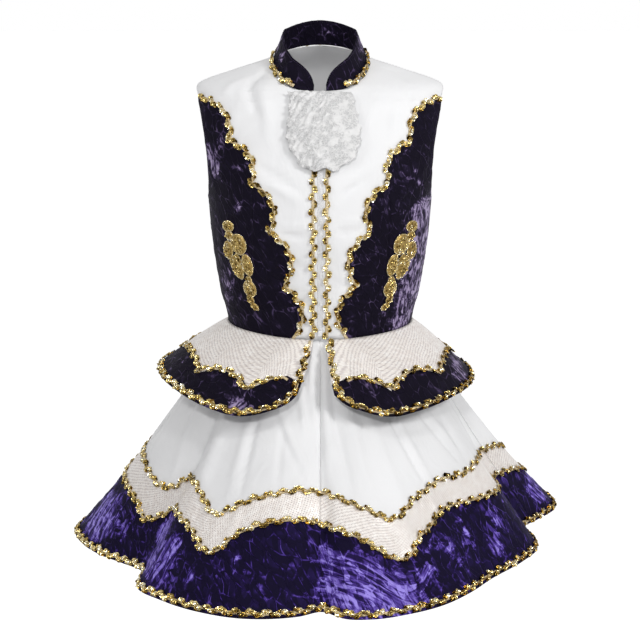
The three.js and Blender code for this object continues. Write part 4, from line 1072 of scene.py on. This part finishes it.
def make_trims():
    ring = np.linspace(-180, 180, 721)[:-1]
    sequin_trim("trim_skirt_upper", skirt, ring, upper_join(ring), 0, closed=True)
    sequin_trim("trim_skirt_lower", skirt, ring, lower_join(ring), 1, closed=True)
    sequin_trim("trim_skirt_hem", skirt, ring, SKIRT_HEM_TRIM, 2, DENSE_PLACES, closed=True)
    t = np.linspace(0.02, 0.98, 500)
    round_it = lerp(peplum_front(1.0), 360 - peplum_front(1.0), t)
    sequin_trim("trim_peplum_join", peplum, round_it, peplum_join(round_it), 4)
    down = np.linspace(0.03, 0.83, 20)
    front_azimuth = np.concatenate([peplum_front(down) + PEPLUM_TRIM_INSET, [12.2, 14.5, 18.5]])
    front_share = np.concatenate([down, [0.905, 0.935, PEPLUM_HEM_TRIM]])
    azimuth = np.concatenate([front_azimuth, np.linspace(21, 339, 400), 360 - front_azimuth[::-1]])
    share = np.concatenate([front_share, np.full(400, PEPLUM_HEM_TRIM), front_share[::-1]])
    sequin_trim("trim_peplum_edge", peplum, azimuth, share, 5, DENSE_PLACES)
    around = np.linspace(COLLAR_TRIM_END, 360 - COLLAR_TRIM_END, 300)
    sequin_trim("trim_collar", collar, around, COLLAR_TRIM_SHARE, 6, lift=COLLAR_WALL + COLLAR_TRIM_STAND)
    for side, word in ((-1, "left"), (1, "right")):
        for line, back, label in ((FRONT_SCALLOPS, False, "front"), (BACK_SCALLOPS, True, "back")):
            x, z = line.T
            sequin_trim(f"trim_{label}_{word}", torso, azimuth_at(x, z, back) * side, z, 7 + back + 2 * side)
        z = np.linspace(WAIST_FRONT + 3, -120, 80)
        sequin_trim(f"trim_centre_{word}", torso, azimuth_at(CENTRE_TRIM_X, z) * side, z, 20 + side,
                    ZIGZAG_PLACES)


# ---- Jabot, zip and applique ----
TAPE_TOP, TAPE_BOTTOM = -30, -379
TEETH_TOP, TEETH_BOTTOM = -34, -368
TOOTH_PITCH = 1.9
TOOTH_X = 0.8  # distance from centre
TOOTH = (1.5, 0.62, 0.55)  # half sizes across, up and out
ZIP_BLOCKS = (("zip_box", -372, 3.6, 4.5), ("zip_slider", -46, 3.4, 6.0))  # node, level, half sizes
SEQUIN_RINGS = ((0.08, math.inf), (0.44, 3.4), (0.7, 4.6))  # share of the way to a lobe's rim, spacing
BEAD_PITCH = 1.9


def jabot_relief(points, azimuth, along):
    across = np.linspace(0, 1, points.shape[1])[None]
    down = np.linspace(0, 1, points.shape[0])[:, None]
    crumpled = ease(1 - across, 0.25, 0.6)
    slope = points[..., 0] * 0.75 - points[..., 2] * 0.62
    warp = 5 * hash_noise(points / 14, 31)
    ridges = np.sin((slope + warp) * 2 * np.pi / 8.5)
    fine = crumple(points, 7, 33)
    bowl = 3 * np.sin(np.pi * across) + 1.5 * np.sin(np.pi * down)
    return bowl + (0.15 + 0.75 * crumpled) * ridges + (0.7 + 0.9 * crumpled) * fine


def make_jabot():
    z = np.linspace(JABOT_TOP, JABOT_BOTTOM, 110)
    ruffle = 1.4 * np.sin(z / 2.9) + 0.9 * np.sin(z / 1.3)
    x = between(smooth(JABOT, 1, z) - ruffle, smooth(JABOT, 2, z) + ruffle[::-1], 100)
    hem = 2.2 * np.sin(x / 4.1) * ease(-z, 115, 131)[:, None]
    along = z[:, None] + hem
    cloth("jabot", torso, azimuth_at(x, along), along, LACE, "gathered", rests_on=["front_satin_left"],
          relief=jabot_relief, lift=CLOTH + JABOT_STAND, thickness=0.7)


def tape_relief(points, azimuth, along):
    """The tape drops below the satin on each side of it."""
    return -1.25 * ease(np.abs(points[..., 0]), ZIP_HALF - 0.6, ZIP_HALF + 0.3)


def make_zip():
    z = np.linspace(TAPE_BOTTOM, TAPE_TOP, 90)
    half = azimuth_at(TAPE_HALF, z)
    bodice_panel("zip_tape", -half, half, z, 15, ZIP_CLOTH, tape_relief, thickness=0.5)
    levels = np.arange(TEETH_BOTTOM, TEETH_TOP, TOOTH_PITCH)
    side = np.where(np.arange(len(levels)) % 2 == 0, -1, 1)
    place, facing = line_on(torso, azimuth_at(TOOTH_X, levels) * side, levels)
    up = unit(np.gradient(place, axis=0))
    directions = (np.cross(up, facing), up, facing)
    bead_row("zip_teeth", place + facing * (CLOTH + 0.5), TOOTH, directions, ZIP_PLASTIC)
    for node, level, half_width, half_height in ZIP_BLOCKS:
        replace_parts(zip_block(node, level, half_width, half_height), node)


def zip_block(name, level, half_width, half_height):
    """A rounded moulding that follows the front's slope."""
    place, facing = line_on(torso, [0.0], [float(level)])
    up = unit(torso(np.array([0.0]), np.array([level + 1.0])) - place)
    rows, columns = 8, 24
    t, angle = np.meshgrid(np.arange(rows) / rows * np.pi / 2, turns(columns), indexing="ij")
    size, lift = np.cos(t) ** 0.35, CLOTH + 0.3 + 2.2 * np.sin(t) ** 0.8
    x = half_width * size * power(np.cos(angle), 0.5)
    y = half_height * size * power(np.sin(angle), 0.5)
    vertices = place + np.cross(up, facing) * x[..., None] + up * y[..., None] + facing * lift[..., None]
    faces = grid_faces(rows, columns, False, ring=True)
    faces += [tuple(reversed(range(columns))), tuple((rows - 1) * columns + j for j in range(columns))]
    return new_object(f"{name}_moulding", vertices.reshape(-1, 3), faces, ZIP_PLASTIC)


def bead_template():
    """A small round bead of twenty faces."""
    g = (1 + 5 ** 0.5) / 2
    points = [(-1, g, 0), (1, g, 0), (-1, -g, 0), (1, -g, 0), (0, -1, g), (0, 1, g), (0, -1, -g), (0, 1, -g),
              (g, 0, -1), (g, 0, 1), (-g, 0, -1), (-g, 0, 1)]
    faces = [(0, 11, 5), (0, 5, 1), (0, 1, 7), (0, 7, 10), (0, 10, 11), (1, 5, 9), (5, 11, 4), (11, 10, 2),
             (10, 7, 6), (7, 1, 8), (3, 9, 4), (3, 4, 2), (3, 2, 6), (3, 6, 8), (3, 8, 9), (4, 9, 5),
             (2, 4, 11), (6, 2, 10), (8, 6, 7), (9, 8, 1)]
    return np.array(points, float) / math.hypot(1, g), faces, np.zeros(12)


def bead_row(name, places, half_sizes, directions, material):
    """Beads of one tone, stretched along their three directions."""
    frames = axes(*(size * direction for size, direction in zip(half_sizes, directions)))
    scatter(name, places, frames, 1.0, 0.5, bead_template(), material)


# Petals of the applique: place down its spine, distance out from it, half length, half width, degrees
# of turn, height
LOBES = [
    (0.062, 3.8, 8, 7.6, 0, 3.2), (0.16, 6.2, 6.5, 5.2, -6, 2.8), (0.265, -3.4, 15.5, 10.2, 2, 3.9),
    (0.31, 13.6, 13.5, 6.4, 12, 3.4), (0.5, -6.6, 16.5, 7.0, 3, 3.5), (0.505, 8.6, 18.5, 7.2, -7, 3.3),
    (0.415, 3.6, 8.5, 2.6, -8, 2.2), (0.655, -2.2, 5, 4, 0, 3.0), (0.755, 0, 12.8, 8.4, 0, 3.7),
    (0.87, 3.4, 7, 3.8, -12, 2.6), (0.955, 0.8, 7.5, 3.6, -26, 2.4),
]


def applique_place(t, across, side):
    """A place on the applique: t down its length, and a distance out from its spine."""
    x = lerp(APPLIQUE_TOP[0], APPLIQUE_TIP[0], t) + across
    z = lerp(APPLIQUE_TOP[1], APPLIQUE_TIP[1], t) - across * APPLIQUE_SLANT
    return azimuth_at(x, z) * side, z


def on_lobe(lobe, r, angle, side):
    """Points of one lobe, r running from its middle to its rim, and the way out of the torso there."""
    t, across, half_length, half_width, turn, height = lobe
    turn = math.radians(turn)
    pointed = 1 - 0.12 * np.abs(np.sin(angle)) * np.cos(angle)
    u, v = half_length * r * np.cos(angle) * pointed, half_width * r * np.sin(angle)
    down, out = u * math.cos(turn) - v * math.sin(turn), u * math.sin(turn) + v * math.cos(turn)
    azimuth, z = applique_place(t + down / APPLIQUE_LENGTH, across + out, side)
    place, facing = line_on(torso, azimuth, z)
    dome = CLOTH + 1.0 + height * np.sqrt(np.maximum(1 - r ** 2, 0)) + 0.3 * np.cos(9 * angle) * r
    return place + facing * dome[..., None], facing


def applique_lobe(lobe, side):
    """A domed petal with a rolled-under rim."""
    rings, sides = 7, 28
    r, angle = np.meshgrid(np.concatenate([[0.02], np.linspace(0.22, 1, rings)]), turns(sides), indexing="ij")
    top, facing = on_lobe(lobe, r, angle, side)
    points = np.concatenate([top, top[-1:] - facing[-1:] * 1.1]).reshape(-1, 3)
    faces = grid_faces(rings + 2, sides, side > 0, ring=True)
    cap = tuple(range(sides))
    base = tuple((rings + 1) * sides + k for k in cap)
    return points, faces + ([cap[::-1], base] if side < 0 else [cap, base[::-1]])


def lobe_sequins(lobe, side, random):
    """Rings of sequins on a lobe: for each ring their places, axes and tones."""
    found = []
    for ring, spacing in SEQUIN_RINGS:
        number = max(int(math.pi * ring * (lobe[2] + lobe[3]) / spacing), 1)
        place, facing = on_lobe(lobe, ring, turns(number) + random.uniform(0, 1), side)
        up = unit(facing + random.normal(0, 0.28, facing.shape))
        first = unit(np.cross(up, [0.3, 0.2, 1.0]))
        tones = np.clip(random.normal(0.34 + 0.32 * ring, 0.17, number), 0.1, 1)
        found.append((place + facing * 0.8, axes(first, np.cross(up, first), up), tones))
    return found


def lobe_beads(lobe, side):
    """Beads in a row round a lobe's rim: their places and axes."""
    rim, normals = on_lobe(lobe, 0.99, turns(90), side)
    _, place, facing, tangent = resample(rim, normals, BEAD_PITCH, True)
    return place - facing * 0.2, axes(tangent, np.cross(facing, tangent), facing)


def make_applique(side, word):
    random = np.random.default_rng(40 + side)
    node = f"applique_{word}"
    points, faces, sequins, beads = [], [], [], []
    for lobe in LOBES:
        lobe_points, lobe_faces = applique_lobe(lobe, side)
        first = len(points) * len(lobe_points)
        points.append(lobe_points)
        faces += [tuple(first + k for k in face) for face in lobe_faces]
        sequins += lobe_sequins(lobe, side, random)
        beads.append(lobe_beads(lobe, side))
    ground = new_object(f"{node}_petals", np.concatenate(points), faces, EMBROIDERY)
    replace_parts(ground, node)
    centres, frames, tones = (np.concatenate(part) for part in zip(*sequins))
    scatter(f"{node}_sequins", centres, frames, 1.9, tones, sequin_template(9), GOLD)
    centres, frames = (np.concatenate(part) for part in zip(*beads))
    tones = random.uniform(0.62, 1.0, len(centres))
    scatter(f"{node}_beads", centres, frames, 1.0, tones, bead_template(), GOLD)


# ---- Sewing ----
STITCH_PITCH = 3.2
STITCH = (1.15, 0.28, 0.24)  # half sizes along, across and out
ARMHOLE_SEAM = 2.2  # degrees in from the edge
SHOULDER_SEAM = 2.4
ZIP_SEAM = 3.1  # distance from centre


def stitches(name, surface, azimuth, along, lift, material):
    """A run of short stitches along a line on a surface."""
    _, place, facing, tangent = resample(*line_on(surface, azimuth, along), STITCH_PITCH, False)
    directions = (tangent, np.cross(facing, tangent), facing)
    bead_row(name, place + facing * lift, STITCH, directions, material)


def make_sewing():
    stitches("collar_stitches", collar, np.linspace(5, 355, 400), 0.93, COLLAR_WALL + 0.35, PLUM_THREAD)
    level = np.linspace(UNDERARM + 3, -42, 120)
    shoulder = np.linspace(-34, -22.5, 24)
    for side, word in ((-1, "left"), (1, "right")):
        for back, label, inward in ((False, "front", -1), (True, "back", 1)):
            edge = (armhole(level, back) + inward * ARMHOLE_SEAM) * side
            stitches(f"armhole_{label}_stitches_{word}", torso, edge, level, CLOTH + 0.5, PLUM_THREAD)
            edge = (armhole(shoulder, back) + inward * SHOULDER_SEAM) * side
            stitches(f"shoulder_{label}_stitches_{word}", torso, edge, shoulder, CLOTH + 0.2, WHITE_THREAD)
        z = np.linspace(-368, -132, 200)
        stitches(f"zip_stitches_{word}", torso, azimuth_at(ZIP_SEAM, z) * side, z, CLOTH + 0.1, WHITE_THREAD)


# ---- Stage ----
TARGET = (0.0, 0.0, -0.373)
CAMERA_DISTANCE = 2.7
CAMERA_ELEVATION = 12.0
FLOOR = -1.45  # where the wearer's feet would be
FLOOR_REACH = 30.0
# name, place, aim, size, watts
LIGHTS = [
    ("key", (2.2, -2.0, 1.3), (0, 0, -0.35), (0.7, 0.7), 49),
    ("side", (-2.4, -1.6, 1.4), (0, 0, -0.4), (0.4, 0.9), 14),
    ("top", (0.1, -1.6, 1.7), (0, 0.05, -0.02), (0.3, 0.3), 7),
    ("spark", (-0.4, -3.2, 1.1), (0, 0, -0.4), (0.2, 0.2), 28),
]


def make_camera():
    data = bpy.data.cameras.new("camera")
    data.lens = 101.25
    data.sensor_width = 36.0
    made = add("camera", data)
    x, y, z = TARGET
    tilt = math.radians(CAMERA_ELEVATION)
    made.location = (x, y - CAMERA_DISTANCE * math.cos(tilt), z + CAMERA_DISTANCE * math.sin(tilt))
    made.rotation_euler = (math.radians(90 - CAMERA_ELEVATION), 0, 0)
    bpy.context.scene.camera = made


def area_light(name, place, aim, size, watts):
    data = bpy.data.lights.new(name, "AREA")
    data.shape = "RECTANGLE"
    data.size, data.size_y = size
    data.energy = watts
    made = add(name, data)
    made.location = place
    x, y, z = np.array(aim, float) - np.array(place, float)
    made.rotation_euler = (math.atan2(math.hypot(x, y), -z), 0, math.atan2(x, -y) + math.pi)


def make_floor():
    corners = [(-1, -1), (1, -1), (1, 1), (-1, 1)]
    mesh = bpy.data.meshes.new("floor")
    mesh.from_pydata([(x * FLOOR_REACH, y * FLOOR_REACH, FLOOR) for x, y in corners], [], [(0, 1, 2, 3)])
    paint = Paint("floor_pale")
    paint.color(paint.noise(paint.place(), 3, 2), [(0.3, 0.86), (0.7, 0.9)])
    # The floor glows: its emission is strong behind the dress, where it stands for a white backdrop, and weak
    # in front of it, so it lights the dress little.
    depth = paint.node("SeparateXYZ", {"Vector": paint.place()}).outputs["Y"]
    behind = paint.node("MapRange", {"Value": depth, "From Min": 0.2, "From Max": 1.4,
                                     "To Min": 0.05, "To Max": 0.62})
    paint.feed("Emission Strength", behind.outputs[0])
    paint.set(Roughness=0.9, Emission_Color=(1, 1, 1, 1))
    mesh.materials.append(paint.material)
    add("floor", mesh)


def make_world():
    """A white backdrop behind the dress, and a dimmer room in front of it."""
    world = bpy.data.worlds.new("studio")
    bpy.context.scene.world = world
    world.use_nodes = True
    nodes, links = world.node_tree.nodes, world.node_tree.links
    direction = nodes.new("ShaderNodeTexCoord").outputs["Generated"]
    split = nodes.new("ShaderNodeSeparateXYZ")
    links.new(direction, split.inputs[0])
    ramp = nodes.new("ShaderNodeValToRGB")
    links.new(split.outputs["Y"], ramp.inputs[0])
    first, last = ramp.color_ramp.elements
    first.position, first.color = 0.25, (0.3, 0.3, 0.305, 1)
    last.position, last.color = 0.8, (1, 1, 1, 1)
    links.new(ramp.outputs[0], nodes["Background"].inputs["Color"])
    nodes["Background"].inputs["Strength"].default_value = 1.0


def make_stage():
    make_floor()
    make_world()
    for light in LIGHTS:
        area_light(*light)
    bpy.context.scene.view_settings.view_transform = "Standard"


make_camera()
make_stage()
for side, word in ((-1, "left"), (1, "right")):
    front_satin(side, word)
    front_velvet(side, word)
    side_velvet(side, word)
    back_velvet(side, word)
    make_applique(side, word)
back_satin()
stand_collar()
make_peplum()
make_skirt()
make_trims()
make_jabot()
make_zip()
make_sewing()
